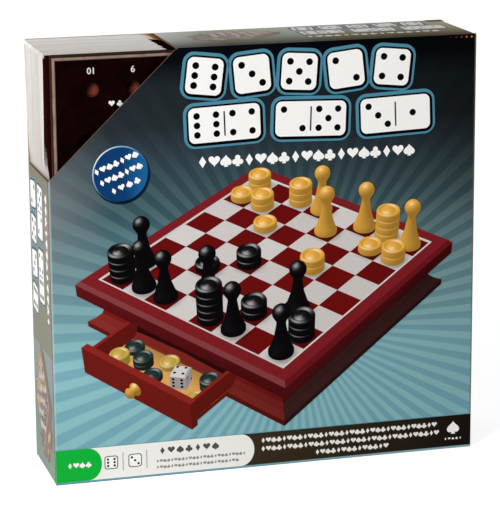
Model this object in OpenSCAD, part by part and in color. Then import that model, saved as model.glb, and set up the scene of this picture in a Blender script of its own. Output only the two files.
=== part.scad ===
// Boxed family games compendium. A printed carton, folded from fluted board with one
// corner cut away behind clear film, holds a wooden games cabinet with its boards and
// pieces. Millimetres. X runs across the carton's face, Y from face to back, Z up.
// The origin is the middle of the carton's underside.

/* [Cabinet] */
// Width of the closed cabinet, across the carton's face
cabinet_w = 342; // [338:1:420]
// Height of the cabinet as it stands on edge in the carton
cabinet_h = 342; // [338:1:420]
// Thickness of the closed cabinet, felt pads to lid bead
cabinet_d = 76; // [74:1:100]
// Height of the base, felt pads included
base_h = 55; // [54:0.5:60]
// Thickness of the moulded base rails
base_rail_t = 18; // [16:1:24]
// Depth of the hollow cove along the base rails
cove_depth = 7; // [3:0.5:8]
// Thickness of the base's floor panel
floor_t = 4; // [3:0.5:6]
// Thickness of the lid rails
lid_rail_t = 16; // [14:1:20]
// Thickness of the dividers between the trays
divider_t = 5; // [3:0.5:8]
// Radius of the lid's swivel pin
pin_r = 2; // [1.5:0.25:2.5]

/* [Boards] */
// Side of one chess square
chess_square = 35; // [30:0.5:38]
// Thickness of the chess board panel
chess_board_t = 4; // [3:0.5:4.5]
// Thickness of the backgammon board
backgammon_t = 6; // [4:0.5:7]
// Length of one backgammon point
point_l = 118; // [90:1:140]
// Thickness of the pit board under the window
pit_board_t = 8.8; // [7:0.1:9.5]
// Width of the pale bead round the pit board
bead_w = 3.9; // [2:0.1:6]
// Distance between the numbered pits
pit_pitch = 32.8; // [26:0.1:36]
// Diameter of a numbered pit at the board's face
pit_dia = 11.7; // [8:0.1:16]
// Diameter of a counting cup at the board's face
cup_dia = 34; // [24:0.5:40]

/* [Carton] */
// Thickness of the carton's fluted board
board_t = 1.5; // [0.8:0.1:2.2]
// Window's cut along the top edge, from the left end
window_w = 104; // [60:1:140]
// Window's cut down the left edge, from the top
window_h = 100; // [60:1:140]
// Length of a tuck tab, crease to edge
tab_l = 14; // [10:0.5:16]
// Length of a dust flap, crease to edge
dust_flap_l = 38; // [25:1:45]
// Width of the glued seam flap
seam_flap_w = 30; // [15:1:40]
// Thickness of the clear window film
film_t = 0.3; // [0.2:0.05:0.4]
// Width of film glued behind the board round the window
film_margin = 12; // [6:0.5:18]

/* [Pieces] */
// Foot radius of the king, the widest chess man
king_r = 13; // [11:0.5:13.5]
// Height of the king without its cross
king_h = 58; // [48:0.5:60]
// Foot radius of a pawn
pawn_r = 10; // [8:0.5:12]
// Height of a pawn
pawn_h = 35; // [28:0.5:36]
// Radius of a draught
draught_r = 14; // [10:0.5:15]
// Thickness of a draught
draught_t = 5; // [4:0.25:6]
// Radius of a marble
marble_r = 6.5; // [5:0.25:7]
// Side of a die
die_side = 14; // [10:0.5:16]
// Radius of a pick-up stick
stick_r = 1.5; // [1:0.1:1.6]
// Length of a pick-up stick
stick_l = 175; // [120:1:180]

/* [Clearances] */
// Play between the cabinet and each end of the carton
side_play = 1; // [0.5:0.1:4]
// Play above the cabinet, under the film
top_play = 0.6; // [0.3:0.1:5]
// Play between the cabinet's lid and a tuck tab
face_play = 0.4; // [0.3:0.1:4]
// Play between the cabinet's pads and the seam flap
back_play = 0.5; // [0.3:0.1:4]
// Gap at a crease, and between pieces that lie on each other
crease_gap = 0.3; // [0.2:0.05:0.5]
// Space between a tuck tab and the carton's face, which the tab swings through
tab_space = 1.1; // [1:0.05:2]
// Gap round a loose piece in its pocket
pocket_gap = 0.4; // [0.3:0.05:0.8]
// Gap round a panel in its groove, or an inlay in its recess
fit_gap = 0.1; // [0.05:0.05:0.2]

/* [Hidden] */
$fn = 48;

// Carton, worked out from the cabinet that it wraps
carton_w = cabinet_w + 2 * side_play + 4 * board_t;
carton_h = cabinet_h + fit_gap + film_t + top_play + 2 * board_t;
back_room = board_t + back_play;
face_room = tab_space + board_t + face_play;
carton_d = cabinet_d + face_room + back_room + 2 * board_t;
end_x = carton_w / 2;
face_y = -carton_d / 2;
back_y = carton_d / 2;
closure_lift = 1;
closure_back_y = back_y - board_t - crease_gap;
closure_front_y = face_y + board_t + tab_space;
dust_x = end_x - board_t - crease_gap;
dust_inset = 3;
dust_front_y = face_y + 5 + board_t;
dust_taper = tan(35);
tab_inset = 12;
tab_corner_r = 7;
lock_slit = [1.2, 10];

// Levels inside the cabinet, measured from the underside of its felt pads
pad_t = 1;
floor_z = 5;
tray_z = floor_z + floor_t + fit_gap;
board_recess = 2;
backgammon_z = base_h - board_recess - backgammon_t;
ledge_w = 4;
groove_d = 5;
lid_gap = 0.4;
lid_z = base_h + lid_gap;
chess_z = lid_z + 2.6;
ledge_z = cabinet_d - 10;
bead_h = 4;
bead_in = 0.8;
inlay_t = 0.6;
inner_w = cabinet_w - 2 * base_rail_t;
inner_h = cabinet_h - 2 * base_rail_t;
pit_board_w = cabinet_w - 2 * (bead_in + bead_w + fit_gap);
pit_board_h = cabinet_h - 2 * (bead_in + bead_w + fit_gap);
pin_inset = 8.5;
pin_l = 22;
pin_z = lid_z + 8.6 - pin_l;

// Trays, sized by what they hold and by the room between the rails
man_pitch = 2 * king_r + 2.5;
cross_h = 5;
row_major_l = king_h + cross_h + 2 * pocket_gap;
row_pawn_l = pawn_h + 2 * pocket_gap;
web_t = 3;
chess_tray_w = 8 * man_pitch + 2 * web_t;
chess_tray_l = 2 * row_major_l + 2 * row_pawn_l + 5 * web_t;
tray_top_z = backgammon_z - 2;
tray_h = tray_top_z - tray_z;
side_tray_w = inner_w - chess_tray_w - divider_t - 4 * fit_gap;
marble_tray_l = inner_h - chess_tray_l - divider_t - 4 * fit_gap;
marble_tray_h = 2 * marble_r + 8;
marble_pitch = 2 * marble_r + 2;
tray_left = -inner_w / 2 + fit_gap;
tray_bottom = -inner_h / 2 + fit_gap;
chess_tray_y = inner_h / 2 - fit_gap - chess_tray_l;
side_tray_x = inner_w / 2 - fit_gap - side_tray_w;
draught_stack_l = 15 * (draught_t + crease_gap) + crease_gap;
stick_pitch = 2 * stick_r + 0.3;
stick_ring = 3;
bundle_r = stick_ring * stick_pitch + stick_r;
stick_y = tray_bottom + web_t + draught_stack_l + web_t + pocket_gap;
pocket_z = tray_top_z - king_r - 1;

// Carton

// Rounded oblong with true arcs, its lower left corner at the origin
module round_oblong(w, h, r) {
    translate([r, 0]) square([w - 2 * r, h]);
    translate([0, r]) square([w, h - 2 * r]);
    for (x = [r, w - r], y = [r, h - r]) translate([x, y]) circle(r);
}

// Front, top, back and bottom panels as one folded band
module sleeve_band() {
    rotate([90, 0, 90]) linear_extrude(carton_w, center = true) difference() {
        translate([face_y, 0]) round_oblong(carton_d, carton_h, board_t);
        translate([face_y + board_t, board_t])
            square([carton_d - 2 * board_t, carton_h - 2 * board_t]);
    }
}

// Seam flap, glued up the inside of the back panel with tapered ends
module seam_flap() {
    half = dust_x - board_t - 1;
    translate([0, back_y - board_t, board_t]) rotate([90, 0, 0]) linear_extrude(board_t)
        polygon([[-half, 0], [half, 0], [half - 14, seam_flap_w], [14 - half, seam_flap_w]]);
}

// The cut-away corner: a slanting cut in the face and a square one across the top
module window_cut() {
    translate([0, face_y + board_t, 0]) rotate([90, 0, 0]) linear_extrude(2 * board_t)
        polygon([
            [-end_x - 1, carton_h - window_h],
            [-end_x, carton_h - window_h],
            [window_w - end_x, carton_h],
            [window_w - end_x, carton_h + 1],
            [-end_x - 1, carton_h + 1]
        ]);
    translate([-end_x - 1, face_y, carton_h - board_t])
        cube([window_w + 1, carton_d - board_t, 2 * board_t]);
}

module carton_sleeve() {
    color("steelblue") {
        difference() {
            sleeve_band();
            window_cut();
            for (side = [0, 1]) mirror([side, 0, 0])
                translate([dust_x, face_y + board_t, -1])
                    cube([carton_w, carton_d - 2 * board_t, carton_h + 2]);
        }
        seam_flap();
    }
}

// End closure on the right, creased to the back panel and as tall as its end
module closure(top_z) {
    translate([end_x - board_t, closure_front_y, closure_lift])
        cube([board_t, closure_back_y - closure_front_y, top_z - closure_lift]);
}

// Tuck tab on the right, with round corners and a lock slit at each end of its crease
module tuck_tab(top_z) {
    tab_h = top_z - 2 * tab_inset;
    tab_x = end_x - board_t - crease_gap;
    translate([tab_x, closure_front_y + board_t, tab_inset])
        rotate([90, 0, 0]) linear_extrude(board_t) mirror([1, 0]) difference() {
            union() {
                square([tab_l - tab_corner_r, tab_h]);
                translate([0, tab_corner_r]) square([tab_l, tab_h - 2 * tab_corner_r]);
                for (z = [tab_corner_r, tab_h - tab_corner_r])
                    translate([tab_l - tab_corner_r, z]) circle(tab_corner_r);
            }
            for (z = [0, tab_h - lock_slit[1]]) translate([0, z]) square(lock_slit);
        }
}

// Lower dust flap on the right, tapered where it passes the swinging closure
module dust_flap() {
    foot = board_t + crease_gap;
    tip = foot + dust_flap_l;
    tip_back = closure_back_y - dust_inset - dust_flap_l * dust_taper;
    translate([dust_x - board_t, 0, 0]) rotate([90, 0, 90]) linear_extrude(board_t)
        polygon([
            [dust_front_y, foot],
            [closure_back_y - dust_inset, foot],
            [tip_back, tip],
            [dust_front_y + 8, tip],
            [dust_front_y + 2, tip - 6]
        ]);
}

left_top_z = carton_h - window_h;
right_top_z = carton_h - closure_lift;

module left_closure() color("lightslategray") mirror([1, 0, 0]) closure(left_top_z);
module right_closure() color("lightslategray") closure(right_top_z);
module left_tuck_tab() color("tan") mirror([1, 0, 0]) tuck_tab(left_top_z - film_margin - 2);
module right_tuck_tab() color("tan") tuck_tab(right_top_z);
module left_dust_flap() color("tan") mirror([1, 0, 0]) dust_flap();
module right_lower_dust_flap() color("tan") dust_flap();
module right_upper_dust_flap() color("tan")
    translate([0, 0, carton_h]) mirror([0, 0, 1]) dust_flap();

// Clear film creased round the cut-away corner and glued inside the board
module window_film() {
    slack = fit_gap;
    left = -end_x + board_t + slack;
    front = face_y + board_t + slack;
    top = carton_h - board_t - slack;
    back = back_y - board_t - slack;
    right = -end_x + window_w + film_margin;
    bottom = carton_h - window_h - film_margin;
    color("gainsboro", 0.5) {
        // Face, a corner of the square behind the slanting cut
        translate([0, front + film_t, 0]) rotate([90, 0, 0]) linear_extrude(film_t)
            polygon([[left, bottom], [right, top], [left, top]]);
        // Top, over the cabinet's upper rail
        translate([left, front, top - film_t]) cube([right - left, back - front, film_t]);
        // End, behind the left closure
        translate([left, front, bottom]) cube([film_t, back - front, top - bottom]);
        // Margins down and along the back panel
        translate([left, back - film_t, top - film_margin])
            cube([right - left, film_t, film_margin]);
        translate([left, back - film_t, bottom]) cube([film_margin, film_t, top - bottom]);
    }
}

// Cabinet: drawn lying on its felt pads, then stood on edge in the carton

module stand_in_carton() {
    translate([0, back_y - board_t - back_room, board_t + fit_gap + cabinet_h / 2])
        rotate([90, 0, 0]) children();
}

// Length of the rail on each side: lower, right, upper, left
function rail_l(side) = side % 2 == 0 ? cabinet_w : cabinet_h;

// Moves a rail, drawn with its outer face along X and its body towards +Y, to its side
module on_side(side) {
    out = (side % 2 == 0 ? cabinet_h : cabinet_w) / 2;
    rotate([0, 0, 90 * side]) translate([0, -out, 0]) children();
}

// Rail of the given section, X inwards and Y up, mitred at both ends
module mitred_rail(length, depth) {
    end = length / 2 - fit_gap / 2;
    intersection() {
        translate([-length / 2, 0, 0]) rotate([90, 0, 90]) linear_extrude(length) children();
        linear_extrude(cabinet_d + 1)
            polygon([[-end, 0], [end, 0], [end - depth, depth], [depth - end, depth]]);
    }
}

module base_section() {
    cove_z0 = pad_t + 17;
    cove_z1 = base_h - 11;
    half = (cove_z1 - cove_z0) / 2;
    cove_r = (half * half + cove_depth * cove_depth) / (2 * cove_depth);
    difference() {
        translate([0, pad_t]) square([base_rail_t, base_h - pad_t]);
        translate([cove_depth - cove_r, (cove_z0 + cove_z1) / 2]) circle(cove_r);
        translate([base_rail_t - groove_d, floor_z]) square([groove_d + 1, floor_t + 2 * fit_gap]);
        translate([base_rail_t - ledge_w, backgammon_z]) square([ledge_w + 1, base_h]);
    }
}

module pivot_bore() {
    translate([-cabinet_w / 2 + pin_inset, -cabinet_h / 2 + pin_inset, pin_z - fit_gap])
        cylinder(h = pin_l + 2 * fit_gap, r = pin_r + fit_gap / 2);
}

module base_rail(side) {
    color("maroon") stand_in_carton() difference() {
        on_side(side) mitred_rail(rail_l(side), base_rail_t) base_section();
        pivot_bore();
    }
}

module base_floor() {
    w = inner_w + 2 * (groove_d - fit_gap);
    h = inner_h + 2 * (groove_d - fit_gap);
    color("saddlebrown") stand_in_carton()
        translate([-w / 2, -h / 2, floor_z + fit_gap]) cube([w, h, floor_t - fit_gap]);
}

module felt_pads() {
    pad_r = base_rail_t / 2 - 1;
    color("black") stand_in_carton() for (x = [-1, 1], y = [-1, 1])
        translate([x * (cabinet_w / 2 - pad_r - 1), y * (cabinet_h / 2 - pad_r - 1), 0])
            cylinder(h = pad_t, r = pad_r);
}

module long_divider() {
    color("maroon") stand_in_carton()
        translate([side_tray_x - fit_gap - divider_t, -inner_h / 2, tray_z])
            cube([divider_t, inner_h, backgammon_z - tray_z]);
}

// Butts against the left rail and the long divider
module cross_divider() {
    color("maroon") stand_in_carton()
        translate([-inner_w / 2, chess_tray_y - fit_gap - divider_t, tray_z])
            cube([side_tray_x - fit_gap - divider_t + inner_w / 2, divider_t, backgammon_z - tray_z]);
}

// Backgammon board with its inlaid points

point_w = (inner_w - 2 * ledge_w) / 12;

// Place of a point: row 0 stands on the lower edge, row 1 hangs from the upper
module point_place(index, row) {
    x = (index - 5.5) * point_w;
    y = inner_h / 2 - ledge_w;
    rotate([0, 0, 180 * row])
        translate([row == 0 ? x : -x, -y, backgammon_z + backgammon_t - inlay_t]) children();
}

module point_inlay(shrink) {
    linear_extrude(inlay_t) polygon([
        [-point_w / 2 + 0.6 + shrink, shrink],
        [point_w / 2 - 0.6 - shrink, shrink],
        [0, point_l - 6 * shrink]
    ]);
}

module points(parity) {
    stand_in_carton() for (row = [0, 1], index = [0:11])
        if ((index + row) % 2 == parity) point_place(index, row) point_inlay(fit_gap / 2);
}

module backgammon_board() {
    w = inner_w + 2 * (ledge_w - fit_gap);
    h = inner_h + 2 * (ledge_w - fit_gap);
    color("burlywood") stand_in_carton() difference() {
        translate([-w / 2, -h / 2, backgammon_z]) cube([w, h, backgammon_t]);
        for (row = [0, 1], index = [0:11]) point_place(index, row) point_inlay(0);
    }
}

module dark_points() color("sienna") points(0);
module light_points() color("wheat") points(1);

// Lid: mitred rails grooved for the chess board, with a ledge for the pit board

module lid_section() {
    edge = bead_in + bead_w;
    difference() {
        translate([0, lid_z]) square([lid_rail_t, cabinet_d - bead_h - lid_z]);
        translate([edge, ledge_z]) square([lid_rail_t, cabinet_d]);
        translate([lid_rail_t - groove_d, chess_z])
            square([groove_d + 1, chess_board_t + 2 * fit_gap]);
    }
}

module lid_rail(side) {
    color("darkred") stand_in_carton() difference() {
        on_side(side) mitred_rail(rail_l(side), lid_rail_t) lid_section();
        pivot_bore();
    }
}

// Pale bead, glued on the rails' rim with its outer corner rounded
module lid_bead() {
    nose_r = bead_h * 0.45;
    color("tan") stand_in_carton() for (side = [0:3]) on_side(side)
        mitred_rail(rail_l(side), bead_in + bead_w) translate([bead_in, cabinet_d - bead_h]) {
            square([bead_w, bead_h - nose_r]);
            translate([nose_r, 0]) square([bead_w - nose_r, bead_h]);
            translate([nose_r, bead_h - nose_r]) circle(nose_r);
        }
}

module lid_pivot_pin() {
    color("goldenrod") stand_in_carton()
        translate([-cabinet_w / 2 + pin_inset, -cabinet_h / 2 + pin_inset, pin_z])
            cylinder(h = pin_l, r = pin_r);
}

module chess_square_at(column, row, margin) {
    translate([
        (column - 4) * chess_square + margin,
        (row - 4) * chess_square + margin,
        chess_z + fit_gap + chess_board_t - inlay_t
    ]) cube([chess_square - 2 * margin, chess_square - 2 * margin, inlay_t]);
}

module chess_board() {
    w = cabinet_w - 2 * (lid_rail_t - groove_d + fit_gap);
    h = cabinet_h - 2 * (lid_rail_t - groove_d + fit_gap);
    color("darkred") stand_in_carton() difference() {
        translate([-w / 2, -h / 2, chess_z + fit_gap]) cube([w, h, chess_board_t]);
        for (column = [0:7], row = [0:7])
            if ((column + row) % 2 == 1) chess_square_at(column, row, 0.2);
    }
}

module light_squares() {
    color("ivory") stand_in_carton() for (column = [0:7], row = [0:7])
        if ((column + row) % 2 == 1) chess_square_at(column, row, 0.2 + fit_gap / 2);
}

// Pit board: dished pits and cups, cut with spheres

// Cutter for a dish of the given diameter and depth, with its rim at z = 0
module dish(dia, depth) {
    r = (dia * dia / 4 + depth * depth) / (2 * depth);
    translate([0, 0, r - depth]) sphere(r);
}

pit_first = 32.8;
pit_row_in = 28.1;
big_pit_in = 70.9;
big_pit_dia = 17;
cup_pitch = cup_dia + 6;

module pit_board() {
    face_z = ledge_z + fit_gap + pit_board_t;
    left = -cabinet_w / 2;
    top = cabinet_h / 2;
    color("saddlebrown") stand_in_carton() difference() {
        translate([-pit_board_w / 2, -pit_board_h / 2, ledge_z + fit_gap])
            cube([pit_board_w, pit_board_h, pit_board_t]);
        // Nine numbered pits along the upper and lower edges
        for (turn = [0, 180], i = [0:8]) rotate([0, 0, turn])
            translate([left + pit_first + i * pit_pitch, top - pit_row_in, face_z]) dish(pit_dia, 4);
        // Larger pits of the second row
        for (turn = [0, 180], i = [0:4]) rotate([0, 0, turn])
            translate([left + pit_first - 4 + i * 2 * pit_pitch, top - big_pit_in, face_z])
                dish(big_pit_dia, 5);
        // Two rows of six counting cups between two stores
        for (i = [0:5], row = [-1, 1])
            translate([(i - 2.5) * cup_pitch, row * cup_pitch / 2, face_z]) dish(cup_dia, 6);
        for (side = [-1, 1], k = [-1, 1])
            translate([side * 3.45 * cup_pitch, k * cup_pitch / 4, face_z]) dish(24, 6);
    }
}

// Trays, moulded with a pocket for each piece

// Trough open to the top: a half-round bed along Y with straight sides above its axis
module trough(r, length) {
    rotate([-90, 0, 0]) cylinder(h = length, r = r);
    translate([-r, 0, 0]) cube([2 * r, length, tray_h]);
}

// Rows of the chess tray from the bottom up: length and foot radius of each pocket
chess_rows = [
    [row_pawn_l, pawn_r], [row_major_l, king_r], [row_major_l, king_r], [row_pawn_l, pawn_r]
];
function row_y(row) = chess_tray_y + web_t
    + (row == 0 ? 0 : row_y(row - 1) - chess_tray_y + chess_rows[row - 1][0]);
function column_x(column) = tray_left + web_t + (column + 0.5) * man_pitch;
function man_z(r) = pocket_z - king_r + r;

module chess_tray() {
    color("dimgray") stand_in_carton() difference() {
        translate([tray_left, chess_tray_y, tray_z]) cube([chess_tray_w, chess_tray_l, tray_h]);
        for (row = [0:3], column = [0:7])
            translate([column_x(column), row_y(row), man_z(chess_rows[row][1])])
                trough(chess_rows[row][1] + pocket_gap, chess_rows[row][0]);
    }
}

// Stands a man, drawn upright, in its pocket with its foot at the pocket's lower end
module man_at(column, row) {
    translate([column_x(column), row_y(row) + pocket_gap, man_z(chess_rows[row][1])])
        rotate([-90, 0, 0]) children();
}

// Marbles for a game of six players, in as many columns as the tray has room for
marble_count = 60;
marble_cols = floor((chess_tray_w - 2 * web_t) / marble_pitch);
marble_rows = ceil(marble_count / marble_cols);
marble_z = tray_z + marble_tray_h - marble_r - 1;

module at_each_marble() {
    for (i = [0:marble_count - 1])
        translate([
            tray_left + chess_tray_w / 2 + (i % marble_cols - (marble_cols - 1) / 2) * marble_pitch,
            tray_bottom + marble_tray_l / 2
                + (floor(i / marble_cols) - (marble_rows - 1) / 2) * marble_pitch,
            marble_z
        ]) children();
}

module marble_tray() {
    r = marble_r + pocket_gap;
    color("dimgray") stand_in_carton() difference() {
        translate([tray_left, tray_bottom, tray_z]) cube([chess_tray_w, marble_tray_l, marble_tray_h]);
        at_each_marble() {
            sphere(r);
            cylinder(h = marble_r + 2, r = r);
        }
    }
}

module marbles() color("teal") stand_in_carton() at_each_marble() sphere(marble_r);

// Side tray: two stacks of draughts below, the sticks and the dice above
draught_x = [side_tray_x + side_tray_w / 2 - draught_r - 1.2, side_tray_x + side_tray_w / 2 + draught_r + 1.2];
draught_z = tray_top_z - draught_r - 1;
draught_y = tray_bottom + web_t;
bundle_x = side_tray_x + web_t + bundle_r + pocket_gap;
bundle_z = tray_top_z - bundle_r - 1;
dice_x = side_tray_x + side_tray_w - web_t - die_side - 2 * pocket_gap;
dice_z = tray_top_z - die_side - 1;
die_count = 7;
die_pitch = die_side + 2 * pocket_gap + web_t;

module side_tray() {
    color("dimgray") stand_in_carton() difference() {
        translate([side_tray_x, tray_bottom, tray_z])
            cube([side_tray_w, inner_h - 2 * fit_gap, tray_h]);
        for (x = draught_x) translate([x, draught_y, draught_z])
            trough(draught_r + pocket_gap, draught_stack_l);
        translate([bundle_x, stick_y, bundle_z])
            trough(bundle_r + pocket_gap, stick_l + 2 * pocket_gap);
        for (i = [0:die_count - 1])
            translate([dice_x, stick_y + i * die_pitch, dice_z - pocket_gap])
                cube([die_side + 2 * pocket_gap, die_side + 2 * pocket_gap, tray_h]);
    }
}

// Folded leaflet on the chess tray: its margins left, right and below, and its length
leaflet_margin = [12, 22, 20];
leaflet_l = 140;
leaflet_t = 0.6;

module rules_leaflet() {
    color("white") stand_in_carton()
        translate([
            tray_left + leaflet_margin[0], chess_tray_y + leaflet_margin[2], tray_top_z + crease_gap
        ]) cube([chess_tray_w - leaflet_margin[0] - leaflet_margin[1], leaflet_l, leaflet_t]);
}

// Chess men, turned about Z with the foot at z = 0

// Side of a waisted stem from one radius and height to another, hollowed by a true arc
module stem(from, to, hollow) {
    chord = to - from;
    length = norm(chord);
    r = (length * length / 4 + hollow * hollow) / (2 * hollow);
    out = [chord[1], -chord[0]] / length;
    centre = (from + to) / 2 + out * (r - hollow);
    difference() {
        polygon([[0, from[1]], from, to, [0, to[1]]]);
        translate(centre) circle(r, $fn = 360);
    }
}

// Foot and stem that all the men share, up to the collar at height h
module turned_foot(r, h) {
    neck = 0.42 * r;
    square([r, 2.4]);
    square([r - 1, 4]);
    translate([r - 3, 4]) circle(2);
    square([r - 3, 6]);
    stem([r - 2.2, 6], [neck, h], 0.12 * r);
    translate([0, h - 1]) square([neck + 1.8, 1.6]);
    translate([0, h + 0.6]) square([neck + 0.8, 1.2]);
}

module turned() {
    rotate_extrude() intersection() {
        union() children();
        square([30, 100]);
    }
}

module pawn() {
    head_r = 0.46 * pawn_r;
    turned() {
        turned_foot(pawn_r, pawn_h - 2 * head_r - 0.6);
        translate([0, pawn_h - head_r]) circle(head_r);
    }
}

module rook(r, h) {
    wall = 0.62 * r;
    difference() {
        turned() {
            turned_foot(r, h - 11);
            translate([0, h - 10]) square([wall - 1.4, 4]);
            translate([0, h - 7]) square([wall, 7]);
        }
        translate([0, 0, h - 3]) cylinder(h = 4, r = wall - 2);
        for (turn = [0, 60, 120]) rotate([0, 0, turn])
            translate([-r, -0.9, h - 2.2]) cube([2 * r, 1.8, 3]);
    }
}

module bishop(r, h) {
    head_r = 0.44 * r;
    difference() {
        turned() {
            turned_foot(r, h - 2.9 * head_r - 2.4);
            translate([0, h - 2 * head_r - 1.6]) circle(head_r);
            polygon([[0, h - 2], [0, h - 2 * head_r], [0.86 * head_r, h - 1.5 * head_r - 1.4]]);
            translate([0, h - 1.4]) circle(1.4);
        }
        translate([0, -r, h - 1.6 * head_r]) rotate([0, -35, 0]) cube([r, 2 * r, 0.9]);
    }
}

// Head of the knight as a flat carving, its outline in X and Z
module knight(r, h) {
    collar_z = 0.36 * h;
    turned() turned_foot(r, collar_z);
    translate([0, 3.4, 0]) rotate([90, 0, 0]) linear_extrude(6.8) difference() {
        polygon([
            [-0.52 * r, collar_z + 1], [0.5 * r, collar_z + 1], [0.34 * r, 0.56 * h],
            [0.2 * r, 0.64 * h], [0.78 * r, 0.68 * h], [0.86 * r, 0.76 * h],
            [0.3 * r, 0.93 * h], [0.14 * r, h], [-0.06 * r, 0.94 * h],
            [-0.5 * r, 0.86 * h], [-0.7 * r, 0.64 * h]
        ]);
        translate([0.18 * r, 0.83 * h]) circle(0.06 * r);
        translate([0.92 * r, 0.715 * h]) circle(0.09 * r);
    }
}

module queen(r, h) {
    crown_r = 0.56 * r;
    difference() {
        turned() {
            turned_foot(r, h - 13);
            polygon([[0, h - 12], [0.36 * r, h - 12], [crown_r, h - 4.4], [0, h - 2.6]]);
            translate([0, h - 2.2]) circle(2.2);
        }
        for (turn = [0:60:300]) rotate([0, 0, turn])
            translate([crown_r + 0.6, 0, h - 4.4]) sphere(1.9);
    }
}

module king(r, h) {
    crown_r = 0.54 * r;
    turned() {
        turned_foot(r, h - 13);
        polygon([[0, h - 12], [0.36 * r, h - 12], [crown_r, h - 3], [0, h - 0.6]]);
        translate([0, h - 2]) square([2.2, 2.4]);
    }
    translate([-0.8, -0.8, h - 1]) cube([1.6, 1.6, 1 + cross_h]);
    translate([-2.2, -0.8, h + 1.6]) cube([4.4, 1.6, 1.6]);
}

queen_r = king_r - 0.5;
queen_h = king_h - 2;
bishop_r = king_r - 1.5;
bishop_h = king_h - 8;
knight_h = king_h - 14;
rook_h = king_h - 18;

// Back-row columns of each man, on the major row given
module kings(row) man_at(4, row) king(king_r, king_h);
module queens(row) man_at(3, row) queen(queen_r, queen_h);
module bishops(row) for (c = [2, 5]) man_at(c, row) bishop(bishop_r, bishop_h);
module knights(row) for (c = [1, 6]) man_at(c, row) knight(bishop_r, knight_h);
module rooks(row) for (c = [0, 7]) man_at(c, row) rook(bishop_r, rook_h);
module pawns(row) for (c = [0:7]) man_at(c, row) pawn();

module dark_men() color("black") stand_in_carton() children();
module light_men() color("navajowhite") stand_in_carton() children();

// Draughts, grooved on both faces, stacked along Y from the bottom of their troughs
module draught() {
    rotate_extrude() difference() {
        square([draught_r, draught_t]);
        for (y = [-0.3, draught_t + 0.3]) translate([0.66 * draught_r, y]) circle(1.2);
    }
}

module draught_stack(x) {
    stand_in_carton() for (i = [0:14])
        translate([x, draught_y + crease_gap + i * (draught_t + crease_gap), draught_z])
            rotate([-90, 0, 0]) draught();
}

module dark_draughts() color("black") draught_stack(draught_x[0]);
module light_draughts() color("navajowhite") draught_stack(draught_x[1]);

module dice() {
    half = die_side / 2;
    color("white") stand_in_carton() for (i = [0:die_count - 1])
        translate([dice_x + pocket_gap + half, stick_y + i * die_pitch + pocket_gap + half, dice_z + half])
            intersection() {
                cube(die_side, center = true);
                sphere(0.7 * die_side);
            }
}

// One stick along Y, pointed at both ends
module stick() {
    point = 6;
    rotate([-90, 0, 0]) {
        cylinder(h = point, r1 = 0.3, r2 = stick_r);
        translate([0, 0, point]) cylinder(h = stick_l - 2 * point, r = stick_r);
        translate([0, 0, stick_l - point]) cylinder(h = point, r1 = stick_r, r2 = 0.3);
    }
}

// Hexagonal bundle of sticks, ring by ring
module pick_up_sticks() {
    color("orange") stand_in_carton() translate([bundle_x, stick_y + pocket_gap, bundle_z])
        for (q = [-stick_ring:stick_ring], p = [-stick_ring:stick_ring])
            if (abs(q + p) <= stick_ring)
                translate([stick_pitch * (q + p / 2), 0, stick_pitch * p * sqrt(3) / 2]) stick();
}

carton_sleeve();
left_closure();
left_tuck_tab();
left_dust_flap();
right_closure();
right_tuck_tab();
right_upper_dust_flap();
right_lower_dust_flap();
window_film();
base_rail(0);  // base_rail_lower
base_rail(1);  // base_rail_right
base_rail(2);  // base_rail_upper
base_rail(3);  // base_rail_left
base_floor();
felt_pads();
long_divider();
cross_divider();
backgammon_board();
dark_points();
light_points();
lid_rail(0);  // lid_rail_lower
lid_rail(1);  // lid_rail_right
lid_rail(2);  // lid_rail_upper
lid_rail(3);  // lid_rail_left
lid_bead();
lid_pivot_pin();
chess_board();
light_squares();
pit_board();
chess_tray();
marble_tray();
side_tray();
rules_leaflet();
dark_men() kings(1);  // dark_king
dark_men() queens(1);  // dark_queen
dark_men() bishops(1);  // dark_bishops
dark_men() knights(1);  // dark_knights
dark_men() rooks(1);  // dark_rooks
dark_men() pawns(0);  // dark_pawns
light_men() kings(2);  // light_king
light_men() queens(2);  // light_queen
light_men() bishops(2);  // light_bishops
light_men() knights(2);  // light_knights
light_men() rooks(2);  // light_rooks
light_men() pawns(3);  // light_pawns
dark_draughts();
light_draughts();
dice();
marbles();
pick_up_sticks();
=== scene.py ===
"""Looks of the boxed games compendium: its print, film, board edges and wood."""

from math import cos, degrees, hypot, pi, radians, sin

import bmesh
import bpy
from mathutils import Matrix, Vector, noise


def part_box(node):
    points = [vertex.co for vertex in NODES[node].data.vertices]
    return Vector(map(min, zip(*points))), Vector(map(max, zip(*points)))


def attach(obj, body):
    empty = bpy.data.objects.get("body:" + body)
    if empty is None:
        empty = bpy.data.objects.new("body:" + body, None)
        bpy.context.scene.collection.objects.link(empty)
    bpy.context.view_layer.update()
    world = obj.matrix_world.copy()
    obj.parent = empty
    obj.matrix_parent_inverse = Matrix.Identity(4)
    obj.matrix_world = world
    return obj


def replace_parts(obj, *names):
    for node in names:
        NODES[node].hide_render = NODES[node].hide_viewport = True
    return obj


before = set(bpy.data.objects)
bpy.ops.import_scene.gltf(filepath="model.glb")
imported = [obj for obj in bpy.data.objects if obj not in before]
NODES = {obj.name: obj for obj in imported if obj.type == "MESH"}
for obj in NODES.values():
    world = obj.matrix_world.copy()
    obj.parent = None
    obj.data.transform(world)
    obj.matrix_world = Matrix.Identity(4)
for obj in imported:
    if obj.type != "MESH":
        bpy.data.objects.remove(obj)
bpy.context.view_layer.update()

MM = 0.001


# Colours: three 0 to 255 screen values, or four of Blender's linear values

def linear(colour):
    if len(colour) == 4:
        return colour
    return tuple(c / 255 / 12.92 if c <= 0.04045 * 255 else ((c / 255 + 0.055) / 1.055) ** 2.4
                 for c in colour) + (1.0,)


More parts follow.
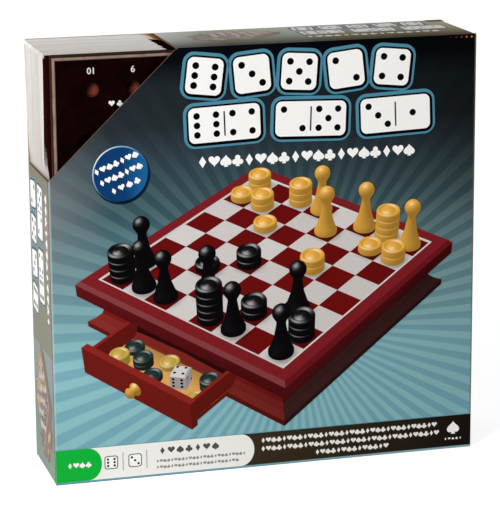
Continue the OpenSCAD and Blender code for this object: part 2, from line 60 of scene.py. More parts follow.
def shade(colour, factor):
    return tuple(min(1.0, c * factor) for c in linear(colour)[:3]) + (1.0,)


def blend_colours(a, b, share):
    return tuple(x + (y - x) * share for x, y in zip(linear(a), linear(b)))


WHITE = (252, 250, 246)
INK_BLACK = (3, 3, 5)
OUTLINE_BLUE = (78, 137, 160)
# Tone of the painted glare that the prints on the ends and top are paled towards
PAINTED_GLARE_TONE = (168, 158, 142)
BURGUNDY = (118, 26, 32)
SQUARE_DARK = (110, 12, 12)
SQUARE_LIGHT = (218, 211, 208)
AMBER = (240, 178, 70)
EBONY = (14, 11, 14)
KRAFT = (176, 128, 74)


# Carton measures, from the frame

SLEEVE_LOW, SLEEVE_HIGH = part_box("carton_sleeve")
CLOSURE_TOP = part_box("left_closure")[1].z
FILM_LOW, FILM_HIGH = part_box("window_film")
WIDTH, DEPTH, HEIGHT = ((SLEEVE_HIGH[i] - SLEEVE_LOW[i]) / MM for i in range(3))
GLUE_MARGIN = CLOSURE_TOP - FILM_LOW.z
WINDOW_RIGHT = FILM_HIGH.x - GLUE_MARGIN


# Small helpers

def smooth_step(value, low, high):
    t = min(1.0, max(0.0, (value - low) / (high - low)))
    return t * t * (3 - 2 * t)


def turned(x, y, turn):
    c, s = cos(radians(turn)), sin(radians(turn))
    return x * c - y * s, x * s + y * c


def spin(turn):
    return Matrix.Rotation(radians(turn), 3, "Z")


def grid_faces(wide, tall, closed=False):
    """Quads between rows of points, wide quads to a row; a closed row joins up."""
    row = wide if closed else wide + 1
    return [(j * row + i, j * row + (i + 1) % row, (j + 1) * row + (i + 1) % row, (j + 1) * row + i)
            for j in range(tall) for i in range(wide)]


def add_object(name, data):
    made = bpy.data.objects.new(name, data)
    bpy.context.scene.collection.objects.link(made)
    return made


def add_piece(name, data, body):
    made = add_object(name, data)
    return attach(made, body)


def solid_mesh(name, points, faces, materials):
    """Mesh of a closed solid, with its faces turned outwards."""
    data = bpy.data.meshes.new(name)
    data.from_pydata(points, [], faces)
    mesh = bmesh.new()
    mesh.from_mesh(data)
    bmesh.ops.recalc_face_normals(mesh, faces=mesh.faces)
    mesh.to_mesh(data)
    mesh.free()
    for material in materials:
        data.materials.append(material)
    return data


# Shader building

class Value:
    """A node's output: sums and products with it become Math nodes."""

    def __init__(self, shader, socket):
        self.shader, self.socket = shader, socket

    def __add__(self, other):
        return self.shader.math("ADD", self, other)

    def __sub__(self, other):
        return self.shader.math("SUBTRACT", self, other)

    def __rsub__(self, other):
        return self.shader.math("SUBTRACT", other, self)

    def __mul__(self, other):
        return self.shader.math("MULTIPLY", self, other)

    def span(self, low, high, to_low=0.0, to_high=1.0, kind="LINEAR"):
        """This value carried from low..high to to_low..to_high, clamped."""
        inputs = enumerate((self, low, high, to_low, to_high))
        return self.shader.value("MapRange", inputs, interpolation_type=kind)

    def mix(self, a, b, low=0.3, high=0.7, most=1.0):
        """Colour a where this value is low, that turns to b where it is high."""
        return self.shader.mix(self.span(low, high, 0.0, most), a, b)

    def ramp(self, stops):
        """A colour ramp, with each stop's place and its colour, or its grey as one number."""
        made = self.shader.node("ValToRGB", {0: self})
        points = made.color_ramp.elements
        while len(points) < len(stops):
            points.new(0.5)
        for point, (at, colour) in zip(points, stops):
            point.position = at
            point.color = linear(colour) if isinstance(colour, tuple) else (colour,) * 3 + (1.0,)
        return Value(self.shader, made.outputs[0])


class Shader:
    """The nodes of a material, or of the world, with a short call for each kind."""

    def __init__(self, name, kind=bpy.data.materials):
        self.owner = kind.new(name)
        self.owner.use_nodes = True
        self.tree = self.owner.node_tree
        self.bsdf = self.tree.nodes.get("Principled BSDF")
        self.output = self.tree.nodes.get("Material Output")
        self.place = self.node("TexCoord").outputs["Object"]

    def feed(self, socket, value):
        """Links a node's output to a socket, or sets the socket to a number or colour."""
        if isinstance(value, Value):
            value = value.socket
        if isinstance(value, bpy.types.NodeSocket):
            self.tree.links.new(value, socket)
        elif value is not None:
            socket.default_value = linear(value) if isinstance(value, tuple) else value

    def node(self, kind, inputs=(), **settings):
        """A new node, with what to feed its inputs by their numbers or names."""
        made = self.tree.nodes.new("ShaderNode" + kind)
        for key, value in settings.items():
            setattr(made, key, value)
        for key, value in dict(inputs).items():
            self.feed(made.inputs[key], value)
        return made

    def value(self, kind, inputs=(), output=0, **settings):
        return Value(self, self.node(kind, inputs, **settings).outputs[output])

    def math(self, operation, a, b=None):
        return self.value("Math", {0: a, 1: b}, operation=operation)

    def seen_directly(self):
        """1 for what the camera sees, also in a reflection or through glass, and else 0."""
        path = self.node("LightPath").outputs
        seen = self.math("MAXIMUM", path["Is Camera Ray"], path["Is Glossy Ray"])
        return self.math("MAXIMUM", seen, path["Is Transmission Ray"])

    def axes(self, vector=None):
        """The three numbers of a vector, or of the place on the object."""
        made = self.node("SeparateXYZ", {0: vector or self.place})
        return [Value(self, socket) for socket in made.outputs]

    def noise(self, scale, detail=3.0, roughness=0.5, distortion=0.0, stretch=None):
        """Noise by place, where the list stretch scales each axis first."""
        place = self.place
        if stretch:
            place = self.value("Mapping", {"Vector": place, "Scale": stretch})
        return self.value("TexNoise", {"Vector": place, "Scale": scale, "Detail": detail,
                                       "Roughness": roughness, "Distortion": distortion}, "Fac")

    def mix(self, share, a, b, blend="MIX"):
        return self.value("Mix", {0: share, 6: a, 7: b}, 2, data_type="RGBA", blend_type=blend)

    def multiply(self, a, b):
        return self.mix(1.0, a, b, "MULTIPLY")

    def bump(self, height, depth_mm, strength):
        """Bump from a 0 to 1 height, whose full rise is depth_mm."""
        self.feed(self.bsdf.inputs["Normal"], self.value("Bump", {
            "Strength": strength, "Distance": depth_mm * MM, "Height": height}))

    def finish(self, colour, roughness, specular=None, **sockets):
        """Sets the Principled shader's sockets, such as Coat_Weight=..., and gives the material."""
        sockets.update(Base_Color=colour, Roughness=roughness, Specular_IOR_Level=specular)
        for key, value in sockets.items():
            self.feed(self.bsdf.inputs[key.replace("_", " ")], value)
        return self.owner

    def surface(self, kind, *inputs):
        """Puts a node that joins these shaders on the material's output."""
        self.feed(self.output.inputs["Surface"], self.value(kind, enumerate(inputs)))
        return self.owner


# Print on the board

# Turn of the flutes' wave over a metre, from their pitch
FLUTE_TURN = 2 * pi / (2.6 * MM)


def laminated(shader, colour, roughness=0.32, flute_axis=0, specular=0.012):
    """Printed colour under gloss, over board whose flutes show as a faint washboard."""
    flutes = shader.math("SINE", shader.axes()[flute_axis] * FLUTE_TURN)
    blotch = shader.noise(28.0, 4.0)
    shader.bump(flutes * 0.12 + blotch, 0.12, 0.35)
    return shader.finish(colour, blotch.span(0.3, 0.7, roughness - 0.05, roughness + 0.07), specular)


BURST_CENTRE = (0.025, 0.117)
BURST_RAYS = 78.0
# Height up the panel, from 0 to 1, with the dark and the light ray's tone there
RAY_STOPS = [
    (0.00, (112, 164, 177), (134, 184, 190)), (0.28, (120, 171, 182), (140, 190, 195)),
    (0.45, (95, 139, 149), (118, 160, 166)), (0.62, (55, 84, 93), (74, 103, 109)),
    (0.76, (46, 60, 69), (50, 66, 74)), (0.82, (35, 43, 47), (38, 46, 51)),
    (0.91, (30, 38, 41), (32, 40, 43)), (0.97, (5, 8, 13), (5, 8, 13)),
]
# Height up the panel, with the share of that tone which its right end keeps
RIGHT_END = [
    (0.0, (0.95, 0.93, 0.93, 1)), (0.25, (0.82, 0.78, 0.78, 1)), (0.60, (0.92, 0.75, 0.69, 1)),
    (0.78, (0.36, 0.33, 0.31, 1)), (1.0, 0.3),
]
# Height up the panel, with the share of a grey painted reflection over the left of the face
LEFT_PAINTED_REFLECTION = [(0.30, 0.0), (0.60, 0.9), (0.66, 1.0), (0.86, 0.2)]


def sunburst(shader):
    """Rays round a centre, pale at the foot of the panel and near black at its top, under a grey painted
    reflection at the left.
    """
    x, _, z = shader.axes()
    angle = shader.math("ARCTAN2", z - BURST_CENTRE[1], x - BURST_CENTRE[0])
    ray = shader.math("SINE", angle * BURST_RAYS).span(-0.3, 0.3, kind="SMOOTHSTEP")
    up = z.span(0.0, HEIGHT * MM)
    dark, light = (up.ramp([(stop[0], stop[k]) for stop in RAY_STOPS]) for k in (1, 2))
    # Painted reflection: a grey veil, strongest at the face's left edge
    painted_reflection_veil = x.span(SLEEVE_LOW.x, -0.125, 0.42, 0.0) * up.ramp(LEFT_PAINTED_REFLECTION)
    sky = shader.mix(painted_reflection_veil, shader.mix(ray, dark, light), (150, 150, 150))
    return shader.multiply(sky, x.mix((1, 1, 1, 1), up.ramp(RIGHT_END), -0.1, SLEEVE_HIGH.x))


def edge_distance(shader, first, second, low=SLEEVE_LOW, high=SLEEVE_HIGH):
    """Distance to the nearest edge of the panel that spans these two axes."""
    least = None
    for axis in (first, second):
        place = shader.axes()[axis]
        for gap in (place - low[axis], high[axis] - place):
            least = gap if least is None else shader.math("MINIMUM", least, gap)
    return least


def worn_at_folds(shader, colour, first, second):
    """Kraft showing in specks where the board is scuffed, beside a panel's folds."""
    near = edge_distance(shader, first, second).span(0.0, 1.1 * MM, 1.0, 0.0)
    speck = shader.noise(900.0, 3.0, 0.7)
    return (near * speck).mix(colour, KRAFT, 0.50, 0.60)


def burst_print(name):
    shader = Shader(name)
    x = shader.axes()[0]
    # Painted highlight: a pale strip along the left fold
    left = x.span(SLEEVE_LOW.x + 0.6 * MM, SLEEVE_LOW.x + 1.9 * MM, 0.55, 0.0)
    right = x.span(SLEEVE_HIGH.x - 1.6 * MM, SLEEVE_HIGH.x - 0.6 * MM, 0.0, 0.8)
    colour = worn_at_folds(shader, sunburst(shader), 0, 2)
    colour = shader.mix(left, colour, (186, 210, 212))
    return laminated(shader, shader.mix(right, colour, (104, 102, 78)))


def two_zone_print(name, along, edge, teal_stops, taupe_stops, front, middle, back):
    """Teal up to an edge on one axis and taupe past it, times levels from front to back, which on the top
    rise towards the back as a painted reflection.
    """
    shader = Shader(name)
    axes = shader.axes()
    share = axes[along].span(SLEEVE_LOW[along], SLEEVE_HIGH[along])
    zones = axes[along].mix(share.ramp(teal_stops), share.ramp(taupe_stops), edge - 0.4 * MM,
                            edge + 0.4 * MM)
    # Levels from front to back: on the top a painted reflection, brighter towards the back
    level = axes[1].span(SLEEVE_LOW.y, 0.0, front, middle) \
        + axes[1].span(0.0, SLEEVE_HIGH.y, 0.0, back - middle)
    colour = worn_at_folds(shader, shader.multiply(zones, level), along, 1)
    return laminated(shader, colour, 0.3, 1 if along == 2 else 0, 0.0)


def ink_print():
    """Inks of the shapes printed over the ground, from each corner's own tone."""
    shader = Shader("printed_shapes")
    tone = shader.value("Attribute", (), "Color", attribute_name="tone")
    grain = shader.noise(700.0, 2.0).span(0.2, 0.8, 0.0, 0.2)
    return laminated(shader, shader.mix(grain, tone, (0.8, 0.8, 0.8, 1), "MULTIPLY"))


def raw_edge():
    """Cut edge of fluted board: two liners with the flutes' darker wave between."""
    shader = Shader("cut_board_edge")
    x, y, z = shader.axes()
    wave = shader.math("SINE", (x + y + z) * FLUTE_TURN)
    fibre = shader.noise(1500.0, 4.0, 0.7)
    shader.bump(fibre, 0.2, 0.6)
    dark = wave.mix((72, 52, 44), (122, 96, 84), -0.4, 0.4)
    return shader.finish(fibre.mix(dark, (150, 124, 110), 0.3, 0.75, 0.6), 0.92, 0.05)


def crease_edge():
    """Folds beside the back panel, with the end's print, and pale board by the film."""
    shader = Shader("crease_edge")
    x, _, z = shader.axes()
    tone = z.mix((146, 160, 158), (154, 148, 130), 101.6 * MM, 102.4 * MM)
    by_film = z.span(CLOSURE_TOP, CLOSURE_TOP + 0.5 * MM) * x.span(-0.01, 0.01, 1.0, 0.0)
    tone = shader.mix(by_film, tone, (186, 177, 166))
    wear = shader.noise(420.0, 4.0, 0.7)
    return shader.finish(wear.mix(tone, (202, 192, 176), 0.5, 0.7, 0.6), 0.6, 0.05)


def board_back():
    """Unprinted grey-brown back of the board, with pulp flecks."""
    shader = Shader("board_back")
    pulp = shader.noise(260.0, 6.0, 0.65)
    fleck = shader.noise(1400.0, 2.0, 0.4)
    shader.bump(pulp, 0.1, 0.5)
    ground = pulp.mix((158, 132, 98), (182, 156, 120))
    return shader.finish(fleck.mix(ground, (112, 86, 58), 0.62, 0.7), 0.88)


# Wood and small materials

def wood(name, dark, light, grain_axis, roughness=0.38, coat=0.3, rings=34.0, specular=0.25):
    """Stained wood with its grain along one axis: streaks, pores and a lacquer coat."""
    shader = Shader(name)
    scale = [1.0, 1.0, 1.0]
    scale[grain_axis] = 0.06
    streak = shader.noise(rings, 5.0, 0.62, 0.6, scale)
    pore = shader.noise(900.0, 2.0, 0.5, 0.0, scale)
    shader.bump(pore, 0.05, 0.25)
    body = streak.mix(dark, light, 0.34, 0.68)
    return shader.finish(pore.mix(body, shade(dark, 0.5), 0.60, 0.74, 0.7),
                         streak.span(0.3, 0.7, roughness - 0.05, roughness + 0.08), specular,
                         Coat_Weight=coat, Coat_Roughness=0.18)


def bead_wood(cabinet_low, cabinet_high):
    """Brown-stained bead with a pale painted highlight along its rounded middle, by distance from the
    cabinet's edge.
    """
    shader = Shader("bead_wood_painted_highlight")
    grain = shader.noise(120.0, 4.0, 0.6)
    shader.bump(grain, 0.08, 0.4)
    wobble = grain * (0.5 * MM) + edge_distance(shader, 0, 2, cabinet_low, cabinet_high)
    # Painted highlight: the pale band along the bead's middle, with the dark brown stain either side
    painted_highlight_band = wobble.span(0.0, 5.2 * MM).ramp([(0.40, 0.0), (0.50, 1.0), (0.78, 1.0), (0.90, 0.0)])
    pale = grain.mix((132, 112, 98), (156, 138, 124))
    return shader.finish(shader.mix(painted_highlight_band, (52, 18, 9), pale), 0.42, 0.05)


def pit_board_wood():
    """Nearly black lacquer with a red undertone and a few faint blooms."""
    shader = Shader("pit_board_lacquer")
    bloom = shader.noise(90.0, 6.0, 0.7)
    shader.bump(bloom, 0.03, 0.2)
    ground = bloom.mix((8, 1, 1), (27, 4, 3), 0.35, 0.75)
    colour = shader.noise(1300.0, 2.0, 0.6).mix(ground, (70, 40, 34), 0.72, 0.80, 0.4)
    return shader.finish(colour, bloom.span(0.3, 0.7, 0.34, 0.46), 0.01)


def pit_painted_shade_wood():
    """Bare red-brown wood of a pit with painted shade: darker at its rim and on the wall that looks
    right, lighter where a wall faces up and to the left, towards the light.
    """
    shader = Shader("pit_painted_shade_wood")
    across, facing, up = shader.axes(shader.value("TexCoord", (), "Normal"))
    grain = shader.noise(500.0, 4.0, 0.6, 0.0, [0.2, 1.0, 1.0])
    shader.bump(grain, 0.05, 0.4)
    # Painted light by the surface's direction: lighter facing up and left, darker facing right
    share = grain * 0.3 + (up * 0.6 - across).span(-0.5, 0.9, -0.15, 0.85)
    # Painted shade at the steep rim of the dish
    share = share * facing.span(-0.9, -0.6, 1.0, 0.4)
    return shader.finish(shader.mix(share, (12, 3, 2), (132, 60, 44)), 0.55, 0.05)


def plain(name, colour, roughness, second=None, scale=200.0, bump_mm=0.04, **sockets):
    """A material of two close tones in a fine grain."""
    shader = Shader(name)
    grain = shader.noise(scale, 4.0, 0.6)
    shader.bump(grain, bump_mm, 0.4)
    return shader.finish(grain.mix(colour, second or shade(colour, 0.8)),
                         grain.span(0.3, 0.7, roughness - 0.04, roughness + 0.05), **sockets)


FILM_SWELL = 2.8 * MM
FILM_RIPPLE = 0.3 * MM
# Share of the swell at the end, the front and the top
FILM_OUT = (1.0, 0.3, 0.42)
# Painted reflection: share of the film that turns to an off-white sheen, by how glancing the view is
FILM_PAINTED_REFLECTION = [(0.0, 0.0), (0.4, 0.0), (0.5, 0.02), (0.6, 0.14), (0.66, 0.6), (0.72, 0.84), (0.84, 0.96)]


def film_material():
    """Clear film: see-through face on, and at a glancing angle a painted reflection, an off-white streaky
    sheen, with painted highlights along its folds.
    """
    shader = Shader("clear_film")
    x, y, z = shader.axes()
    on_top = z.span(FILM_HIGH.z - 2.5 * MM, FILM_HIGH.z - 1.0 * MM)
    on_side = 1.0 - on_top
    # Streaks of the painted reflection on the end and on the top
    streak_side = shader.noise(110.0, 3.0, 0.5, 0.4, [1.0, 1.0, 0.06])
    streak_top = shader.noise(110.0, 3.0, 0.5, 0.4, [0.06, 1.0, 1.0])
    streak = streak_top * on_top + streak_side * on_side
    painted_film_reflection = shader.value("LayerWeight", {"Blend": 0.5}, "Facing").ramp(FILM_PAINTED_REFLECTION)
    streaky_painted_reflection = painted_film_reflection * streak.span(0.3, 0.7, 0.97, 1.04)
    ragged = streak_side * (8.0 * MM) + x
    # No painted reflection near the top's cut, where the dark gap shows through
    dull = ragged.span(WINDOW_RIGHT - 7.0 * MM, WINDOW_RIGHT - 5.0 * MM) \
        * y.span(0.012, 0.018, 1.0, 0.0) * on_top
    from_fold = y - (FILM_LOW.y - FILM_OUT[1] * FILM_SWELL)
    from_end = x - (FILM_LOW.x - FILM_OUT[0] * FILM_SWELL)
    from_top = (FILM_HIGH.z + FILM_OUT[2] * FILM_SWELL) - z
    from_edge = shader.math("MAXIMUM", from_fold, shader.math("MINIMUM", from_end, from_top))
    # Painted highlight along the film's folds
    fold = from_edge.span(0.5 * MM, 1.1 * MM, 0.85, 0.0)
    behind_bend = y - FILM_LOW.y - z.span(CLOSURE_TOP, FILM_HIGH.z - 10 * MM, 17.0 * MM, 3.0 * MM)
    on_end = from_end.span(1.2 * MM, 2.2 * MM, 1.0, 0.0) * on_side
    bent = behind_bend.span(-1.5 * MM, 0.5 * MM, 1.0, 0.0) * on_end
    share = shader.math("MAXIMUM", streaky_painted_reflection, fold) * (1.0 - dull) * (1.0 - bent)
    # Off-white colour of the painted reflection, in streaks
    colour = streak.mix((205, 197, 188), (220, 213, 205), 0.34, 0.62)
    # Painted brown reflection low on the end, towards the front
    painted_brown_reflection = z.span(CLOSURE_TOP, CLOSURE_TOP + 34 * MM, 0.8, 0.0) \
        * y.span(SLEEVE_LOW.y, 0.0, 1.0, 0.15)
    # Painted reflection brighter up the end and towards the back of the top
    level = z.span(CLOSURE_TOP, FILM_HIGH.z, 0.80, 0.94) * on_side \
        + y.span(SLEEVE_LOW.y, SLEEVE_HIGH.y, 0.88, 1.38) * on_top
    colour = shader.multiply(shader.mix(painted_brown_reflection, colour, (140, 108, 90)), level)
    # Painted highlight just behind the rounded front fold
    glint = behind_bend.span(0.5 * MM, 5.0 * MM, 0.7, 0.0) * on_end
    shader.finish(shader.mix(glint, colour, (244, 240, 234)), 0.24, 0.1)
    clear = shader.value("BsdfTransparent", {"Color": (0.97, 0.97, 0.965, 1)})
    return shader.surface("MixShader", share, clear, shader.bsdf.outputs[0])


# Shapes on a panel

class Panel:
    """A face of the carton: u across and v up, in millimetres from its lower left corner."""

    def __init__(self, body, corner, u, v):
        self.body, self.corner = body, Vector(corner)
        self.u, self.v = Vector(u), Vector(v)
        self.out = self.u.cross(self.v)

    def place(self, u, v, lift):
        return self.corner + (self.u * u + self.v * v + self.out * lift) * MM


# Lift of each layer of ink over the one below, in millimetres
LAYER = 0.02
FACE = Panel("carton", (SLEEVE_LOW.x, SLEEVE_LOW.y, 0), (1, 0, 0), (0, 0, 1))
BACK = Panel("carton", (SLEEVE_HIGH.x, SLEEVE_HIGH.y, 0), (-1, 0, 0), (0, 0, 1))
TOP = Panel("carton", (SLEEVE_LOW.x, SLEEVE_LOW.y, SLEEVE_HIGH.z), (1, 0, 0), (0, 1, 0))
LEFT = Panel("left_closure", (SLEEVE_LOW.x, SLEEVE_LOW.y, 0), (0, 0, 1), (0, 1, 0))
RIGHT = Panel("right_closure", (SLEEVE_HIGH.x, SLEEVE_HIGH.y, 0), (0, 0, 1), (0, -1, 0))
PRINTED_SHAPES = ink_print()


class Ink:
    """Flat coloured shapes printed on a panel, gathered into one piece, each tone paled by a share
    towards a painted glare tone.
    """

    def __init__(self, name, panel, centre=(0, 0), scale=1.0, turn=0.0, painted_glare_share=0.0):
        self.name, self.panel, self.painted_glare_share = name, panel, painted_glare_share
        self.centre, self.scale, self.turn = centre, scale, turn
        self.points, self.faces, self.tones = [], [], []

    def face(self, corners, tones):
        """One face from (u, v, lift) corners, and one tone, or a tone for each corner."""
        start = len(self.points)
        for u, v, lift in corners:
            x, y = turned(u, v, self.turn)
            self.points.append(self.panel.place(self.centre[0] + self.scale * x,
                                                self.centre[1] + self.scale * y, lift))
        self.faces.append(range(start, start + len(corners)))
        tones = tones if isinstance(tones, list) else [tones] * len(corners)
        # Painted glare: each tone blended towards the glare tone
        self.tones.extend(blend_colours(tone, PAINTED_GLARE_TONE, self.painted_glare_share) for tone in tones)

    def shape(self, outline, tone, layer=1):
        self.face([(u, v, layer * LAYER) for u, v in outline], tone)

    def build(self, slot="printed_board"):
        mesh = bpy.data.meshes.new(self.name)
        mesh.from_pydata(self.points, [], [list(f) for f in self.faces])
        tone = mesh.color_attributes.new("tone", "FLOAT_COLOR", "CORNER")
        tone.data.foreach_set("color", [c for t in self.tones for c in t])
        mesh.materials.append(PRINTED_SHAPES)
        return add_piece(self.name, mesh, self.panel.body)


def circle(u, v, radius, count=40):
    step = 2 * pi / count
    return [(u + radius * cos(i * step), v + radius * sin(i * step)) for i in range(count)]


def box_outline(left, low, right, high):
    return [(left, low), (right, low), (right, high), (left, high)]


def round_box(u, v, width, height, radius, turn=0.0, grow=0.0):
    """Outline of a box with round corners about its centre, turned and grown all round."""
    across, up, bend = width / 2 - radius, height / 2 - radius, radius + grow
    points = []
    for quarter, (sx, sy) in enumerate(((1, 1), (-1, 1), (-1, -1), (1, -1))):
        for i in range(7):
            a = pi / 2 * (quarter + i / 6)
            x, y = turned(sx * across + bend * cos(a), sy * up + bend * sin(a), turn)
            points.append((u + x, v + y))
    return points


PIPS = {
    1: [(0, 0)], 2: [(-1, 1), (1, -1)], 3: [(-1, 1), (0, 0), (1, -1)],
    4: [(-1, 1), (1, 1), (-1, -1), (1, -1)], 5: [(-1, 1), (1, 1), (0, 0), (-1, -1), (1, -1)],
    6: [(-1, 1), (1, 1), (-1, 0), (1, 0), (-1, -1), (1, -1)],
}


def add_tile(ink, u, v, width, height, turn, halves):
    """A die or domino face with a black and a blue outline, and its pips."""
    radius = 0.17 * height
    outlines = ((0, 0, 4.2, OUTLINE_BLUE), (0.4, -0.5, 2.0, INK_BLACK), (0, 0, 0, WHITE))
    for layer, (du, dv, grow, tone) in enumerate(outlines, 1):
        ink.shape(round_box(u + du, v + dv, width, height, radius, turn, grow), tone, layer)
    side = width / len(halves)
    for k, number in enumerate(halves):
        centre = (k + 0.5) * side - width / 2
        for px, py in PIPS[number]:
            x, y = turned(centre + px * 0.27 * side, py * 0.27 * height, turn)
            ink.shape(circle(u + x, v + y, 0.095 * height, 24), INK_BLACK, 4)
    if len(halves) == 2:
        ink.shape(round_box(u, v, 1.2, 0.7 * height, 0.4, turn), INK_BLACK, 4)


def print_title(ink, dice=5, dominoes=3):
    """Two rows where a title would stand: dice over dominoes."""
    for i, (number, turn) in enumerate(((6, -7), (3, 5), (5, -4), (2, 6), (4, -6))[:dice]):
        add_tile(ink, (i + 0.5) * 38.5 - 19.3 * dice - 6.5, 21, 29.0, 29.0, turn, [number])
    for i, (halves, turn) in enumerate((([6, 4], 2), ([2, 5], -2), ([3, 1], 2))[:dominoes]):
        add_tile(ink, (i + 0.5) * 70.5 - 35.2 * dominoes + 2.5, -17, 58, 28, turn, halves)
    ink.build()


def heart(u, v, size, flip=1):
    points = []
    for i in range(32):
        t = 2 * pi * i / 32
        x = 16 * sin(t) ** 3
        y = 13 * cos(t) - 5 * cos(2 * t) - 2 * cos(3 * t) - cos(4 * t)
        points.append((u + x * size / 16, v + flip * (y + 2.5) * size / 16))
    return points[::-1] if flip > 0 else points


def add_suit(ink, kind, u, v, size, tone, layer=1):
    """One card suit about its centre: diamond, heart, spade or club."""
    if kind == 0:
        wide = 0.62 * size
        ink.shape([(u + wide, v), (u, v + size), (u - wide, v), (u, v - size)], tone, layer)
    elif kind == 1:
        ink.shape(heart(u, v, size), tone, layer)
    elif kind == 2:
        ink.shape(heart(u, v + 0.15 * size, size, -1), tone, layer)
    else:
        for x, y in ((0, 0.45), (-0.5, -0.25), (0.5, -0.25)):
            ink.shape(circle(u + x * size, v + y * size, 0.46 * size, 20), tone, layer + x)
    if kind > 1:
        half, top = 0.35 * size, (kind - 2) * 0.2 * size
        ink.shape([(u - half, v - size), (u + half, v - size), (u, v + top)], tone, layer + kind - 1)


def add_suit_row(ink, u0, u1, v, size, count, tone=WHITE, layer=1):
    for i in range(count):
        add_suit(ink, i % 4, u0 + (u1 - u0) * i / (count - 1), v, size, tone, layer)
    return ink


# Rim of the badge: angle in degrees, with its tone there
RIM_TONES = [
    (0, (14, 44, 84)), (45, (70, 118, 166)), (90, (140, 180, 214)), (135, (234, 238, 240)),
    (180, (156, 194, 222)), (225, (40, 76, 112)), (270, (0, 15, 35)), (315, (9, 22, 39)),
    (360, (14, 44, 84)),
]


def rim_tone(angle):
    turn = degrees(angle) % 360
    for (a, low), (b, high) in zip(RIM_TONES, RIM_TONES[1:]):
        if turn <= b:
            break
    return blend_colours(low, high, (turn - a) / (b - a))


def disc_tone(across):
    return blend_colours((15, 58, 108), (26, 98, 152), smooth_step(across, 0.1, 1.0))


def print_badge(u, v, radius):
    """Blue disc whose rim is lit from the upper left, with slanting rows of suits."""
    count = 72
    inner = 0.955 * radius
    ink = Ink("face_badge_print", FACE, (u, v))
    ink.shape(circle(0.5, -0.8, radius * 1.03, count), (16, 26, 38), 1)
    for i in range(count):
        a, b = (2 * pi * k / count for k in (i, i + 1))
        ring = [(r * cos(t), r * sin(t)) for r, t in
                ((radius, a), (radius, b), (inner, b), (inner, a))]
        ink.shape(ring, [rim_tone(a), rim_tone(b), rim_tone(b), rim_tone(a)], 2)
        ink.shape([(0, 0)] + ring[:1:-1], [disc_tone(0), disc_tone(cos(a)), disc_tone(cos(b))], 2)
    ink.build()
    marks = Ink("face_badge_marks_print", FACE, (u, v), 1, 22)
    for row, (half, marks_in_row) in enumerate(((16.5, 7), (16.0, 7), (10.0, 4))):
        add_suit_row(marks, -half, half, 9.6 - 9.8 * row, 2.7, marks_in_row, WHITE, 3)
    marks.build()


def bulged(u0, u1, low, high, bulge):
    """Outline of a bar whose right end swells out in half an ellipse."""
    middle, half = (low + high) / 2, (high - low) / 2
    end = [(u1 - bulge * (1 - cos(t)), middle + half * sin(t))
           for t in (radians(-90 + 7.5 * i) for i in range(25))]
    return [(u0, low)] + end + [(u0, high)]


# Rows of small suit marks on the band: u from and to, v, size, count, tone
BAND_ROWS = [
    (87, 131, 21.3, 3.0, 7, (84, 80, 78)), (83, 155, 12.8, 1.45, 25, (146, 142, 138)),
    (83, 149, 7.6, 1.45, 23, (146, 142, 138)), (171, 318, 22.0, 2.3, 34, (240, 236, 230)),
    (171, 320, 14.9, 2.3, 34, (240, 236, 230)), (217, 276, 7.8, 2.3, 14, (240, 236, 230)),
    (328, 341, 8.6, 1.1, 5, WHITE),
]


def print_band():
    """Band along the foot of the face: green tab, white band and near-black band."""
    ink = Ink("face_band_print", FACE)
    low, high, left, right = 2.0, 28.6, 0.2, WIDTH - 0.2
    middle = (low + high) / 2
    teal, pale = (104, 152, 168), (140, 172, 176)
    ink.shape(box_outline(left, 0.1, right, low), [teal, pale, pale, teal], 1)
    ink.shape(box_outline(left, low, right, high + 0.7), (100, 160, 170), 1)
    brown, black = (60, 49, 34), (24, 17, 15)
    ink.shape(box_outline(140, low, right, high), [brown, black, black, brown], 2)
    ink.shape(bulged(20, 163.5, low, high, 11), (244, 241, 236), 3)
    ink.shape(bulged(left, 37.4, low, high, 11), (20, 178, 58), 4)
    add_suit_row(ink, 11.5, 26.5, middle, 2.4, 4, WHITE, 5)
    dark = (46, 42, 44)
    for i, number in enumerate((6, 3)):
        u = 45 + 19.5 * i
        ink.shape(round_box(u, middle, 11, 11, 2.2), dark, 4)
        ink.shape(round_box(u, middle, 9.6, 9.6, 1.7), WHITE, 5)
        for px, py in PIPS[number]:
            ink.shape(circle(u + 2.7 * px, middle + 2.7 * py, 1.0, 16), dark, 6)
        ink.shape(round_box(u + 9.6, middle, 0.5, 15, 0.2), (96, 92, 90), 4)
    for row in BAND_ROWS:
        add_suit_row(ink, *row, 4)
    add_suit(ink, 2, 334.5, 18.0, 5.4, WHITE, 4)
    ink.build()


# A printed picture: solid shapes seen from above, lit, and pressed flat on the panel

VIEW_TURN, VIEW_TILT = radians(41), radians(35)
VIEW_FROM = 900.0
RIGHT_OF_VIEW = Vector((cos(VIEW_TURN), sin(VIEW_TURN), 0))
TO_VIEWER = Vector((sin(VIEW_TURN) * cos(VIEW_TILT),
                    -cos(VIEW_TURN) * cos(VIEW_TILT), sin(VIEW_TILT)))
UP_OF_VIEW = TO_VIEWER.cross(RIGHT_OF_VIEW)
PICTURE_LIGHT = (TO_VIEWER * 0.5 + UP_OF_VIEW * 0.75 - RIGHT_OF_VIEW * 0.45).normalized()
HALF_WAY = (PICTURE_LIGHT + TO_VIEWER).normalized()
PICTURE_RELIEF = 0.0014
PICTURE_LIFT = 6 * LAYER
SQUARE = 24.0
BOARD_HALF = 4 * SQUARE
FRAME_W = 15.0


def lit_tone(normal, colour, gleam, dim):
    """A colour under the picture's light, with a glint where it shines back."""
    level = (0.42 + 0.62 * max(0.0, normal.dot(PICTURE_LIGHT))) * dim
    glint = gleam * max(0.0, normal.dot(HALF_WAY)) ** 24
    return tuple(min(1.0, c * level + glint * dim) for c in colour[:3]) + (1.0,)


